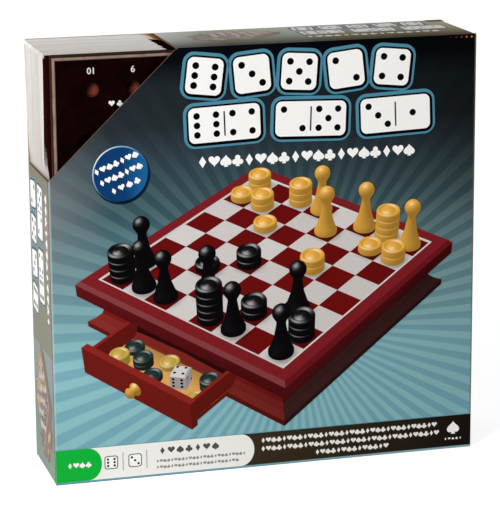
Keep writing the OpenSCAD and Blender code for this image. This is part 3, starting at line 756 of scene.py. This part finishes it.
class Picture(Ink):
    """Ink that is drawn from solid shapes, with x and y on the board and z up."""

    def solid(self, points, faces, colour, smooth=False, gleam=0.25, dimmed=None):
        points, colour = [Vector(p) for p in points], linear(colour)
        normals = []
        for f in faces:
            a, b, c = (points[f[i]] for i in (0, 1, 2))
            n = (b - a).cross(c - b)
            normals.append(n.normalized() if n.length > 1e-9 else Vector((0, 0, 1)))
        around = {}
        for f, n in zip(faces, normals if smooth else ()):
            for i in f:
                around[i] = around.get(i, Vector()) + n
        for f, n in zip(faces, normals):
            if n.dot(TO_VIEWER * VIEW_FROM - points[f[0]]) <= 0.01 * VIEW_FROM:
                continue
            corners, tones = [], []
            for i in f:
                p = points[i]
                depth = p.dot(TO_VIEWER)
                near = VIEW_FROM / (VIEW_FROM - depth)
                corners.append((p.dot(RIGHT_OF_VIEW) * near, p.dot(UP_OF_VIEW) * near,
                                PICTURE_LIFT + PICTURE_RELIEF * (depth + 160) * self.scale))
                tones.append(lit_tone(around[i].normalized() if smooth else n, colour, gleam,
                                      dimmed(p) if dimmed else 1.0))
            self.face(corners, tones)

    def box(self, low, high, colour, **options):
        """A box without its underside."""
        points = [(x, y, z) for z in (low[2], high[2]) for y in (low[1], high[1])
                  for x in (low[0], high[0])]
        faces = [(4, 5, 7, 6), (0, 1, 5, 4), (1, 3, 7, 5), (3, 2, 6, 7), (2, 0, 4, 6)]
        self.solid(points, faces, colour, **options)

    def moulding(self, rings, colours, parts=14):
        """Square rings of (half width, height) from the foot up, with a colour per side."""
        top, foot = rings[-1][1], rings[0][1]
        for side, colour in enumerate(colours):
            spun = spin(90 * side)
            points = [spun @ Vector(((2 * i / parts - 1) * half, -half, z)) for half, z in rings
                      for i in range(parts + 1)]

            def stained(p, along=spun @ Vector((1, 0, 0))):
                run = p.dot(along)
                streak = noise.noise(Vector((run / 60, p.z / 5, 3.0 + run / 900)))
                under = smooth_step(top - p.z, 0.0, 7.0) if top < -10 else 1.0
                return (0.86 - 0.2 * run / 107 + 0.22 * streak) * (0.45 + 0.55 * under) \
                    * (0.7 + 0.3 * smooth_step(p.z, foot - 4, foot + 16))

            self.solid(points, grid_faces(parts, len(rings) - 1), colour, gleam=0.015,
                       dimmed=stained)

    def lathe(self, centre, profile, colour, forward=False, **options):
        """A turned shape: profile is (radius, height) from the foot up, or from -y out."""
        count = 28 if self.scale > 0.5 else 14
        points = []
        for r, h in profile:
            for x, y in circle(0, 0, r, count):
                points.append((centre[0] + x, centre[1] - (h if forward else -y),
                               centre[2] + (y if forward else h)))
        self.solid(points, grid_faces(count, len(profile) - 1, True), colour, smooth=True, **options)

    def die(self, centre, half, turn, chamfer):
        """A die turned about z, with its upper edges chamfered, and pips on three faces."""
        points = []
        for reach, z in ((half, -half), (half, half - chamfer), (half - chamfer, half)):
            for ax, ay in ((-1, -1), (1, -1), (1, 1), (-1, 1)):
                x, y = turned(ax * reach, ay * reach, turn)
                points.append((centre[0] + x, centre[1] + y, centre[2] + z))
        self.solid(points, [(8, 9, 10, 11)] + grid_faces(4, 2, True), SQUARE_LIGHT, gleam=0.2)
        ax, ay, az = spin(turn).transposed()
        for (u, v, out), number in zip(((ax, ay, az), (ax, az, -ay), (ay, az, ax)), (4, 6, 2)):
            for pu, pv in PIPS[number]:
                ring = [centre + out * (half + 0.5) + u * a + v * b
                        for a, b in circle(3.4 * pu, 3.4 * pv, 1.2, 16)]
                self.solid(ring, [tuple(range(16))], EBONY, gleam=0.0)


def draught_profile(radius, tall):
    return [(radius, 0), (radius, 0.8 * tall), (0.94 * radius, tall), (0.74 * radius, tall),
            (0.68 * radius, 0.82 * tall), (0.6 * radius, 0.82 * tall), (0.54 * radius, tall),
            (0.02, tall)]


def cone_profile(radius, tall):
    """Flared foot, narrow neck and ball of a plain playing cone."""
    profile = [(radius, 0), (radius, 0.06 * tall), (0.84 * radius, 0.13 * tall),
               (0.55 * radius, 0.34 * tall), (0.38 * radius, 0.58 * tall), (0.36 * radius, 0.66 * tall)]
    ball = 0.155 * tall
    for i in range(1, 9):
        t = radians(-55 + i * 145 / 8)
        profile.append((max(0.02, ball * cos(t)), 0.84 * tall + ball * sin(t)))
    return profile


# Plan of the board by rows: a cone (0) or a stack of discs, ebony in the first four rows, then amber
PLAN = ["400.50.0", "0..0.2.3", "..1...0.", "...2....", ".....2..", "..1.....", "12..0.12", "2.30.040"]
PIECES = [(column, row, row // 4, int(mark)) for row, marks in enumerate(PLAN)
          for column, mark in enumerate(marks) if mark != "."]


def square_centre(column, row):
    return (column - 3.5) * SQUARE, (row - 3.5) * SQUARE


def under_pieces(point):
    """Soft shadow that each piece casts on the board, away from the light."""
    dim = 1.0
    for column, row, _, _ in PIECES:
        x, y = square_centre(column, row)
        away = hypot(point.x - x - 3.2, point.y - y + 1.6)
        dim = min(dim, 0.5 + 0.5 * min(1.0, max(0.0, (away - 7.5) / 6.5)))
    return dim


RED_SIDE = shade((134, 34, 27), 1.1)
DARK_SIDE = shade((56, 28, 28), 1.6)
PLINTH = [(107, -46), (107, -41), (102, -38), (98, -34), (97, -30), (99, -24), (104, -19),
          (105, -16), (105, -14)]
# Draughts in the drawer: x, y, colour (0 dark, 1 pale) and discs
DRAWER_DRAUGHTS = [(-46, -112, 0, 1), (-45, -129, 1, 2), (-27, -121, 0, 2), (-9, -110, 1, 1),
                   (-9, -129, 0, 1), (37, -130, 1, 1), (35, -111, 0, 2)]


def add_drawer(picture):
    """Drawer pulled out of the plinth, with draughts and a die in it."""
    left, right, front, back = -60.0, 50.0, -144.0, -97.0
    low, high, wall, floor_z = -43.0, -22.0, 3.0, -39
    picture.solid([(left, -100, low), (right, -100, low), (right, back, high), (left, back, high)],
                  [(0, 1, 2, 3)], (52, 12, 10), gleam=0.0)
    floor = [(left + i * (right - left) / 8, front + j * (back - front) / 4, floor_z)
             for j in range(5) for i in range(9)]
    picture.solid(floor, grid_faces(8, 4), (226, 168, 92), gleam=0.0,
                  dimmed=lambda p: 0.45 + 0.55 * smooth_step(-p.y, -back, 122))
    for x0, x1 in ((left, left + wall), (right - wall, right)):
        picture.box((x0, front, low), (x1, back, high), RED_SIDE, gleam=0.0)
    for x, y, kind, tall in DRAWER_DRAUGHTS:
        colour = ((34, 50, 46), (206, 172, 78))[kind]
        for k in range(tall):
            picture.lathe((x, y, floor_z + 4.2 * k), draught_profile(8.0, 4.2), colour, gleam=0.3)
    picture.die(Vector((14, -121, -32.5)), 6.5, 24, 1.2)
    picture.box((left - 3, front - 6, low - 1), (right + 3, front, high + 3), RED_SIDE, gleam=0.1)
    knob = ((left + right) / 2, front - 6, (low + high) / 2)
    picture.lathe(knob, [(5.5, 0), (5.5, 1), (3, 3), (4.6, 6), (3.4, 8), (0.02, 8.6)],
                  shade(AMBER, 0.9), True, gleam=0.5)


def add_board(picture):
    """Chequered board in a frame on a moulded plinth, with a game under way."""
    outer, board_z = BOARD_HALF + FRAME_W, -0.6
    picture.moulding(PLINTH, (RED_SIDE, DARK_SIDE))
    picture.moulding([(outer, -14), (outer, -3)], (shade(BURGUNDY, 1.1), BURGUNDY))
    rings = [(outer, -3), (outer - 3, 0), (BOARD_HALF + 2, 0), (BOARD_HALF, board_z)]
    for turn in range(4):
        rim = [spin(90 * turn) @ Vector((side * half, -half, z)) for half, z in rings for side in (-1, 1)]
        quads = grid_faces(1, 3)
        picture.solid(rim, quads[:2], shade(BURGUNDY, 1.15), gleam=0.08)
        picture.solid(rim, quads[2:], SQUARE_LIGHT, gleam=0.0)
    cut = 6
    for column in range(8):
        for row in range(8):
            x, y = square_centre(column, row)
            grid = [(x + (i / cut - 0.5) * SQUARE, y + (j / cut - 0.5) * SQUARE, board_z)
                    for j in range(cut + 1) for i in range(cut + 1)]
            tone = SQUARE_DARK if (column + row) % 2 == 0 else SQUARE_LIGHT
            level = 0.95 + 0.1 * noise.noise(Vector((1.7 * column, 2.3 * row, 0.5)))
            picture.solid(grid, grid_faces(cut, cut), shade(tone, level), gleam=0.05,
                          dimmed=under_pieces)
    for column, row, kind, discs in PIECES:
        x, y = square_centre(column, row)
        colour, gleam = (EBONY, AMBER)[kind], (0.4, 0.3)[kind]
        if discs == 0:
            picture.lathe((x, y, board_z), cone_profile(9.8, 44), colour, gleam=gleam)
        for k in range(discs):
            picture.lathe((x, y, board_z + 6.6 * k), draught_profile(10.2, 6.6), colour, gleam=gleam)


def print_picture(name, panel, centre=(177, 172), scale=1.0, painted_glare_share=0.0):
    picture = Picture(name, panel, centre, scale, 0.0, painted_glare_share)
    add_board(picture)
    add_drawer(picture)
    picture.build()


# Dots at the face's upper right corner: place along it, with the dot's tone
REGISTER_DOTS = [
    (328.0, (52, 12, 6)), (333.0, (96, 24, 10)), (337.4, (146, 48, 14)), (341.7, (196, 104, 20)),
    (346.0, (222, 132, 24)),
]


def print_corner():
    """Register dots on the face and the black patch that the top shares with the back."""
    dots = Ink("face_register_print", FACE)
    for u, tone in REGISTER_DOTS:
        dots.shape(circle(u, HEIGHT - 2.4, 0.8, 16), tone, 2)
    dots.build()
    patch = Ink("top_corner_print", TOP)
    patch.shape(box_outline(WIDTH - 15, DEPTH - 11, WIDTH - 0.3, DEPTH - 0.3), INK_BLACK, 2)
    patch.build()


def print_face():
    print_title(Ink("face_title_print", FACE, (209, 301.5)))
    add_suit_row(Ink("face_row_print", FACE), 123, 294, 254.6, 4.7, 19).build()
    print_badge(WIDTH / 2 - 117.8, 249.0, 22.5)
    print_band()
    print_picture("face_picture_print", FACE)


def print_side(name, panel, tiles, title_at, title_scale, picture_at, picture_scale, painted_glare_share):
    """A small title, row of suits and picture, for an end or the top, paled by a painted glare."""
    title, row = (Ink(name + part, panel, title_at, title_scale, 0.0, 0.3 * painted_glare_share)
                  for part in ("_title_print", "_row_print"))
    print_title(title, *tiles)
    dice = tiles[0]
    add_suit_row(row, 8 - 20.4 * dice, 19.5 * dice - 19, -51, 5.5, 3 * dice).build()
    print_picture(name + "_picture_print", panel, picture_at, picture_scale, painted_glare_share)


# Which material each face of the board takes

def assign(node, materials, choose=lambda centre, normal: 0):
    """Gives a CAD node these materials, one for each face by choose(centre, normal)."""
    data = NODES[node].data
    data.materials.clear()
    for material in materials:
        data.materials.append(material)
    for polygon in data.polygons:
        polygon.material_index = choose(polygon.center, polygon.normal)


def dress_sleeve(materials):
    """0 face, 1 back, 2 top, 3 foot, 4 cut edge, 5 inside, 6 back panel's side edges."""
    corner = 2 * MM

    def choose(centre, normal):
        outside = any(side * normal[k] > 0.5 and side * (centre[k] - limit[k]) > -corner
                      for k in (1, 2) for side, limit in ((-1, SLEEVE_LOW), (1, SLEEVE_HIGH)))
        at_back = centre.y > SLEEVE_HIGH.y - corner and abs(normal.y) < 0.5
        if at_back and (abs(normal.x) > 0.5 or centre.x < WINDOW_RIGHT):
            return 6
        if abs(normal.x) > 0.3:
            return 4
        if not outside:
            return 5
        if abs(normal.y) >= abs(normal.z):
            return 0 if normal.y < 0 else 1
        return 2 if normal.z > 0 else 3

    assign("carton_sleeve", materials, choose)


def dress_flap(node, outer, edge, inner, out):
    """Outer print, cut edges and bare back of a flap whose print faces along out."""
    def choose(centre, normal):
        facing = normal.dot(Vector(out))
        return 0 if facing > 0.9 else 2 if facing < -0.9 else 1

    assign(node, [outer, edge, inner], choose)


# Crease strip, in millimetres: lift off the plane, ridge, lap on the closure, gap at the corner
FOLD_LIFT = 0.01
FOLD_RIDGE = 0.10
FOLD_LAP = 1.2
FOLD_CLEARANCE = 0.06


def build_fold(closure, side, materials):
    """Scored board that turns with a closure, from its edge to the fold's corner line."""
    low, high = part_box(closure)
    start, end = high.y / MM - FOLD_LAP, SLEEVE_HIGH.y / MM - FOLD_CLEARANCE
    plane, cuts = SLEEVE_HIGH.x / MM + FOLD_LIFT, 6
    ring = [(plane + FOLD_RIDGE * (0.2 + sin(pi * i / cuts)),
             start + (end - start) * i / cuts) for i in range(cuts + 1)]
    ring += [(plane, end), (plane, start)]
    around = len(ring)
    name = closure.replace("closure", "crease_fold")
    points = [(side * x * MM, y * MM, z) for z in (low.z, high.z) for x, y in ring]
    faces = grid_faces(around, 1, True) + [range(around), range(around, 2 * around)]
    data = solid_mesh(name, points, faces, materials)
    for polygon in data.polygons:
        polygon.material_index = 1 if side * polygon.normal.x < -0.5 else 0
    add_piece(name, data, closure)


# Film

def swollen(p):
    """Where a point of the creased film goes when it swells out past the board and ripples."""
    up = 0.4 * smooth_step(p.z, CLOSURE_TOP - 1 * MM, CLOSURE_TOP + 16 * MM)
    up += 0.6 * min(1.0, max(0.0, (p.z - CLOSURE_TOP) / (FILM_HIGH.z - CLOSURE_TOP)))
    share = up * smooth_step(-p.x, -WINDOW_RIGHT - 1 * MM, -WINDOW_RIGHT + 16 * MM)
    swell = FILM_SWELL * share
    ripple_end = noise.noise(Vector((3.1, p.y / (9 * MM), p.z / (130 * MM))))
    ripple_top = noise.noise(Vector((p.x / (120 * MM), p.y / (8 * MM), 7.7)))
    shift = Vector((0, 0, 0))
    if abs(p.x - FILM_LOW.x) < 0.1 * MM:
        shift.x = -FILM_OUT[0] * swell - share * ripple_end * FILM_RIPPLE
    if abs(p.z - FILM_HIGH.z) < 0.1 * MM:
        shift.z = FILM_OUT[2] * swell + share * ripple_top * FILM_RIPPLE
    if abs(p.y - FILM_LOW.y) < 0.1 * MM:
        shift.y = -FILM_OUT[1] * swell
    return p + shift


def build_film():
    """Film creased round the missing corner, swollen past the board and rippled."""
    low, size = FILM_LOW, FILM_HIGH - FILM_LOW
    counts = [round(length / (2.0 * MM)) for length in size]
    mesh = bmesh.new()

    def in_cut(p):
        """Inside the film's slanting lower edge behind the face."""
        return (p.x - low.x) / size.x <= (p.z - low.z) / size.z + 0.02

    def add_wall(across, up, fixed, value, keep=lambda p: True):
        made = []
        for j in range(counts[up] + 1):
            for i in range(counts[across] + 1):
                p = low.copy()
                p[fixed] = value
                p[across] += size[across] * i / counts[across]
                p[up] += size[up] * j / counts[up]
                made.append(mesh.verts.new(p))
        for face in grid_faces(counts[across], counts[up]):
            corners = [made[k] for k in face]
            if all(keep(v.co) for v in corners):
                mesh.faces.new(corners if fixed else corners[::-1])

    add_wall(1, 2, 0, FILM_LOW.x)
    add_wall(0, 1, 2, FILM_HIGH.z)
    add_wall(0, 2, 1, FILM_LOW.y, in_cut)
    bmesh.ops.remove_doubles(mesh, verts=mesh.verts, dist=0.2 * MM)
    bmesh.ops.delete(mesh, geom=[v for v in mesh.verts if not v.link_faces], context="VERTS")
    for v in mesh.verts:
        v.co = swollen(v.co)
    for face in mesh.faces:
        face.smooth = True
    for edge in mesh.edges:
        edge.smooth = len(edge.link_faces) != 2 or edge.calc_face_angle() < 0.6
    data = bpy.data.meshes.new("window_film_sheet")
    mesh.to_mesh(data)
    mesh.free()
    data.materials.append(film_material())
    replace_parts(add_piece("window_film_sheet", data, "carton"), "window_film")


# Where the lip begins and ends behind the middle of the top, in millimetres
LIP_Y = (12.0, 38.0)


def torn_board():
    shader = Shader("torn_board")
    fibre = shader.noise(700.0, 4.0, 0.7)
    shader.bump(fibre, 0.2, 0.6)
    across = shader.axes()[0].span(WINDOW_RIGHT - 6 * MM, WINDOW_RIGHT - 1 * MM)
    return shader.finish(shader.mix(fibre * 0.5 + across, (206, 146, 66), (104, 56, 20)), 0.9, 0.1)


def build_torn_lip():
    """Liner torn up along the top panel's cut, ragged on its free side."""
    rows, columns, thick = 34, 4, 0.7
    low, high = LIP_Y
    back = SLEEVE_LOW.y / MM + DEPTH / 2
    upper = []
    for j in range(rows + 1):
        along = j / rows
        y = back + low + (high - low) * along
        ragged = noise.noise(Vector((y / 2.3, 1.7, 0.4))) + noise.noise(Vector((y / 0.9, 5, 2)))
        reach = (3.0 + 3.2 * along + 1.3 * ragged) * min(1.0, 6 * along + 0.25)
        curl = 0.9 * noise.noise(Vector((y / 5, 0, 9)))
        upper += [(WINDOW_RIGHT / MM - reach * share, y,
                   HEIGHT - 0.1 + curl * sin(pi * share) - 0.9 * share)
                  for share in (i / columns for i in range(columns + 1))]
    points = [Vector((x, y, z - drop)) * MM for drop in (0, thick) for x, y, z in upper]
    count, wide = len(upper), columns + 1

    def rim(a, b):
        """Side wall below the upper layer's edge from corner a to corner b."""
        return a, b, count + b, count + a

    quads = grid_faces(columns, rows)
    faces = quads + [[count + corner for corner in quad] for quad in quads]
    faces += [rim(a, a + wide) for j in range(rows) for a in (j * wide, j * wide + columns)]
    faces += [rim(i, i + 1) for i in range(columns)]
    faces += [rim(rows * wide + i + 1, rows * wide + i) for i in range(columns)]
    data = solid_mesh("torn_board_lip", points, faces, [torn_board()])
    add_piece("torn_board_lip", data, "carton")


# Numbers beside the pits

PIT_PITCH = 32.8 * MM
FIRST_PIT = Vector((28.1, 0, -8.2)) * MM


def pit_marks():
    """Numbers 10 to 2 over the upper pits, read from the far side, and along the lower."""
    low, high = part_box("pit_board")

    def opposite(x, z, turn):
        """A place on the board, or the one that half a turn of the board brings there."""
        return (low.x + high.x - x, low.z + high.z - z) if turn else (x, z)

    marks = Ink("pit_board_marks", Panel("carton", (0, low.y, 0), (1, 0, 0), (0, 0, 1)))
    for turn in (0, 1):
        for i, kind in enumerate((1, 3, 0, 2)):
            x, z = opposite((-122.5 + 6.4 * i) * MM, 304 * MM, turn)
            add_suit(marks, kind, x / MM, z / MM, 2.5, WHITE)
    marks.build("dark_board")
    ink = plain("number_paint", (232, 230, 226), 0.5, scale=900.0, bump_mm=0.02)
    for turn in (0, 1):
        for i in range(9):
            text = bpy.data.curves.new(f"pit_number_{turn}_{10 - i}", "FONT")
            text.body = str(10 - i)
            text.size = 7.0 * MM
            text.align_x = text.align_y = "CENTER"
            text.extrude = 0.03 * MM
            text.offset = 0.12 * MM
            text.materials.append(ink)
            x, z = opposite(low.x + FIRST_PIT.x + i * PIT_PITCH, high.z + FIRST_PIT.z, turn)
            made = add_object(text.name, text)
            made.matrix_world = Matrix.Translation((x, low.y - 0.04 * MM, z)) \
                @ Matrix.Rotation(radians(90), 4, "X") @ Matrix.Rotation(pi * (1 - turn), 4, "Z")
            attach(made, "carton")


# Dressing the whole object

def dress_carton():
    edge, inside, crease = raw_edge(), board_back(), crease_edge()
    # The top's levels, 0.22 at the front to 1.34 at the back, are a painted reflection
    top = two_zone_print("top_painted_reflection_print", 0, 0.040, [
        (0.3, (206, 210, 204)), (0.42, (170, 169, 154)), (0.62, (186, 191, 177))], [
        (0.62, (178, 172, 148)), (0.84, (163, 153, 122)), (1.0, (190, 178, 148))],
        0.22, 0.92, 1.34)
    end = two_zone_print("end_print", 2, 0.102, [
        (0.0, (166, 186, 168)), (0.12, (156, 172, 172)), (0.28, (172, 181, 180))], [
        (0.3, (164, 162, 146)), (0.43, (163, 160, 141)), (0.6, (170, 163, 152)),
        (0.7, (158, 151, 132))], 0.74, 0.74, 0.74)
    foot = plain("foot_print", (126, 168, 178), 0.35, (118, 160, 172), 60.0)
    dress_sleeve([burst_print("face_print"), burst_print("back_print"), top, foot, edge, inside, crease])
    for side, out in (("left", -1), ("right", 1)):
        build_fold(side + "_closure", out, [crease, inside])
        dress_flap(side + "_closure", end, edge, inside, (out, 0, 0))
    for node, out in (("left_tuck_tab", (0, -1, 0)), ("right_tuck_tab", (0, -1, 0)),
                      ("left_dust_flap", (-1, 0, 0)), ("right_upper_dust_flap", (1, 0, 0)),
                      ("right_lower_dust_flap", (1, 0, 0))):
        liner = plain(node + "_liner", (206, 202, 194), 0.6, (196, 190, 180))
        dress_flap(node, liner, edge, inside, out)
    print_face()
    print_corner()
    # Last number: share of painted glare on each end and on the top
    print_side("left_end", LEFT, (4, 2), (186, 51.5), 0.74, (56, 50), 0.3, 0.38)
    print_side("right_end", RIGHT, (5, 3), (238, 51), 0.7, (86, 45), 0.3, 0.2)
    print_side("top", TOP, (5, 3), (276, 55), 0.61, (164, 55), 0.25, 0.45)
    print_title(Ink("back_title_print", BACK, (175, 301.5)))
    print_picture("back_picture_print", BACK)


STAIN = (40, 8, 8), (78, 20, 16)
# Wood of a node: dark and light tone, and the axis of its grain
WOODS = {
    "base_floor": ((150, 112, 70), (186, 146, 98), 0),
    "long_divider": (*STAIN, 2),
    "cross_divider": (*STAIN, 0),
    "backgammon_board": ((176, 138, 88), (206, 168, 114), 2),
    "dark_points": ((92, 42, 24), (128, 64, 38), 2),
    "light_points": ((222, 196, 150), (236, 214, 172), 2),
    "chess_board": ((84, 20, 18), (124, 36, 30), 0),
    "light_squares": ((224, 212, 190), (238, 228, 210), 0),
}
MEN_TONES = {"dark": ((38, 26, 22), (62, 42, 32)), "light": ((206, 166, 108), (226, 190, 136))}
# Looks of other nodes, as plain() takes them
PLAINS = {
    "felt_pads": ((18, 18, 20), 0.95, (34, 34, 36), 1500.0, 0.3),
    "rules_leaflet": ((232, 230, 222), 0.8),
    "dice": ((238, 232, 218), 0.25),
    "marbles": ((60, 130, 140), 0.08, (190, 90, 50), 160.0),
    "pick_up_sticks": ((206, 92, 50), 0.5, (226, 178, 66), 60.0),
}


def dress_cabinet():
    looks = {node: wood(node, *look) for node, look in WOODS.items()}
    looks.update({node: plain(node, *look) for node, look in PLAINS.items()})
    looks["lid_bead"] = bead_wood(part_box("base_rail_lower")[0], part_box("base_rail_upper")[1])
    looks["lid_pivot_pin"] = plain("brass", (196, 156, 84), 0.3, Metallic=1.0)
    for node in NODES:
        if "_rail_" in node:
            along = 2 if node.endswith(("left", "right")) else 0
            looks[node] = wood(node, (21, 4, 3), (49, 12, 8), along, 0.45, 0.0, 34.0, 0.0)
        elif node.endswith("_tray"):
            looks[node] = plain(node, (30, 32, 38), 0.9, (46, 48, 54), 1200.0, 0.2)
        elif node.startswith(("dark_", "light_")) and node not in looks:
            tones = MEN_TONES[node.split("_")[0]]
            looks[node] = wood(node, *tones, 2, 0.3, 0.5, 60.0)
    for node, material in looks.items():
        assign(node, [material])
    low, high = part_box("pit_board")
    numbered = 40 * MM

    def in_pit(centre, normal):
        """Only the small numbered pits near the upper and lower edges show red; the larger, deeper pits
        keep the near-black lacquer as painted shade.
        """
        near = min(high.z - centre.z, centre.z - low.z) < numbered
        return 1 if near and centre.y > low.y + 0.1 * MM and normal.y < -0.05 else 0

    assign("pit_board", [pit_board_wood(), pit_painted_shade_wood()], in_pit)


# Camera, floor and light

FRAME_TALL = 505
FOCAL_PIXELS = 2395.2
CAMERA_PLACE = Vector((-0.5075, -1.8258, 0.6212))
CAMERA_RIGHT = Vector((0.96333, -0.26823, -0.00689))
CAMERA_UP = Vector((0.06876, 0.22194, 0.97263))
KEY_PLACE, KEY_AIM, KEY_SIZE, KEY_WATTS = Vector((-1.3, -1.0, 0.75)), Vector((0, 0, 0.17)), 0.9, 23
WORLD_LEVEL = 0.36
FLOOR_GLOW = 0.66


def add_camera():
    data = bpy.data.cameras.new("camera")
    data.sensor_width = 36.0
    data.lens = FOCAL_PIXELS * data.sensor_width / FRAME_TALL
    made = add_object("camera", data)
    turn = Matrix((CAMERA_RIGHT, CAMERA_UP, CAMERA_RIGHT.cross(CAMERA_UP))).transposed()
    made.matrix_world = Matrix.Translation(CAMERA_PLACE) @ turn.to_4x4()
    bpy.context.scene.camera = made


def add_key():
    data = bpy.data.lights.new("key", "AREA")
    data.shape = "SQUARE"
    data.size = KEY_SIZE
    data.energy = KEY_WATTS
    made = add_object("key", data)
    made.location = KEY_PLACE
    made.rotation_mode = "QUATERNION"
    made.rotation_quaternion = (KEY_AIM - KEY_PLACE).to_track_quat("-Z", "Y")


def add_world():
    """White to the camera and in reflections, and a plainer level as light."""
    shader = Shader("studio", bpy.data.worlds)
    background = shader.tree.nodes["Background"].inputs
    background["Color"].default_value = (1, 1, 1, 1)
    shader.feed(background["Strength"], shader.seen_directly().span(0.0, 1.0, WORLD_LEVEL, 1.0))
    bpy.context.scene.world = shader.owner


def add_floor():
    mesh = bpy.data.meshes.new("floor")
    half = 12.0
    mesh.from_pydata([(x, y, 0) for x, y in box_outline(-half, -half, half, half)], [], [(0, 1, 2, 3)])
    shader = Shader("floor")
    shader.finish((250, 250, 250), 0.9, 0.1)
    glow = shader.value("Emission", {"Strength": shader.seen_directly() * FLOOR_GLOW})
    mesh.materials.append(shader.surface("AddShader", shader.bsdf.outputs[0], glow))
    add_object("floor", mesh)


dress_carton()
dress_cabinet()
build_film()
build_torn_lip()
pit_marks()
add_camera()
add_world()
add_key()
add_floor()
bpy.context.scene.view_settings.view_transform = "Standard"
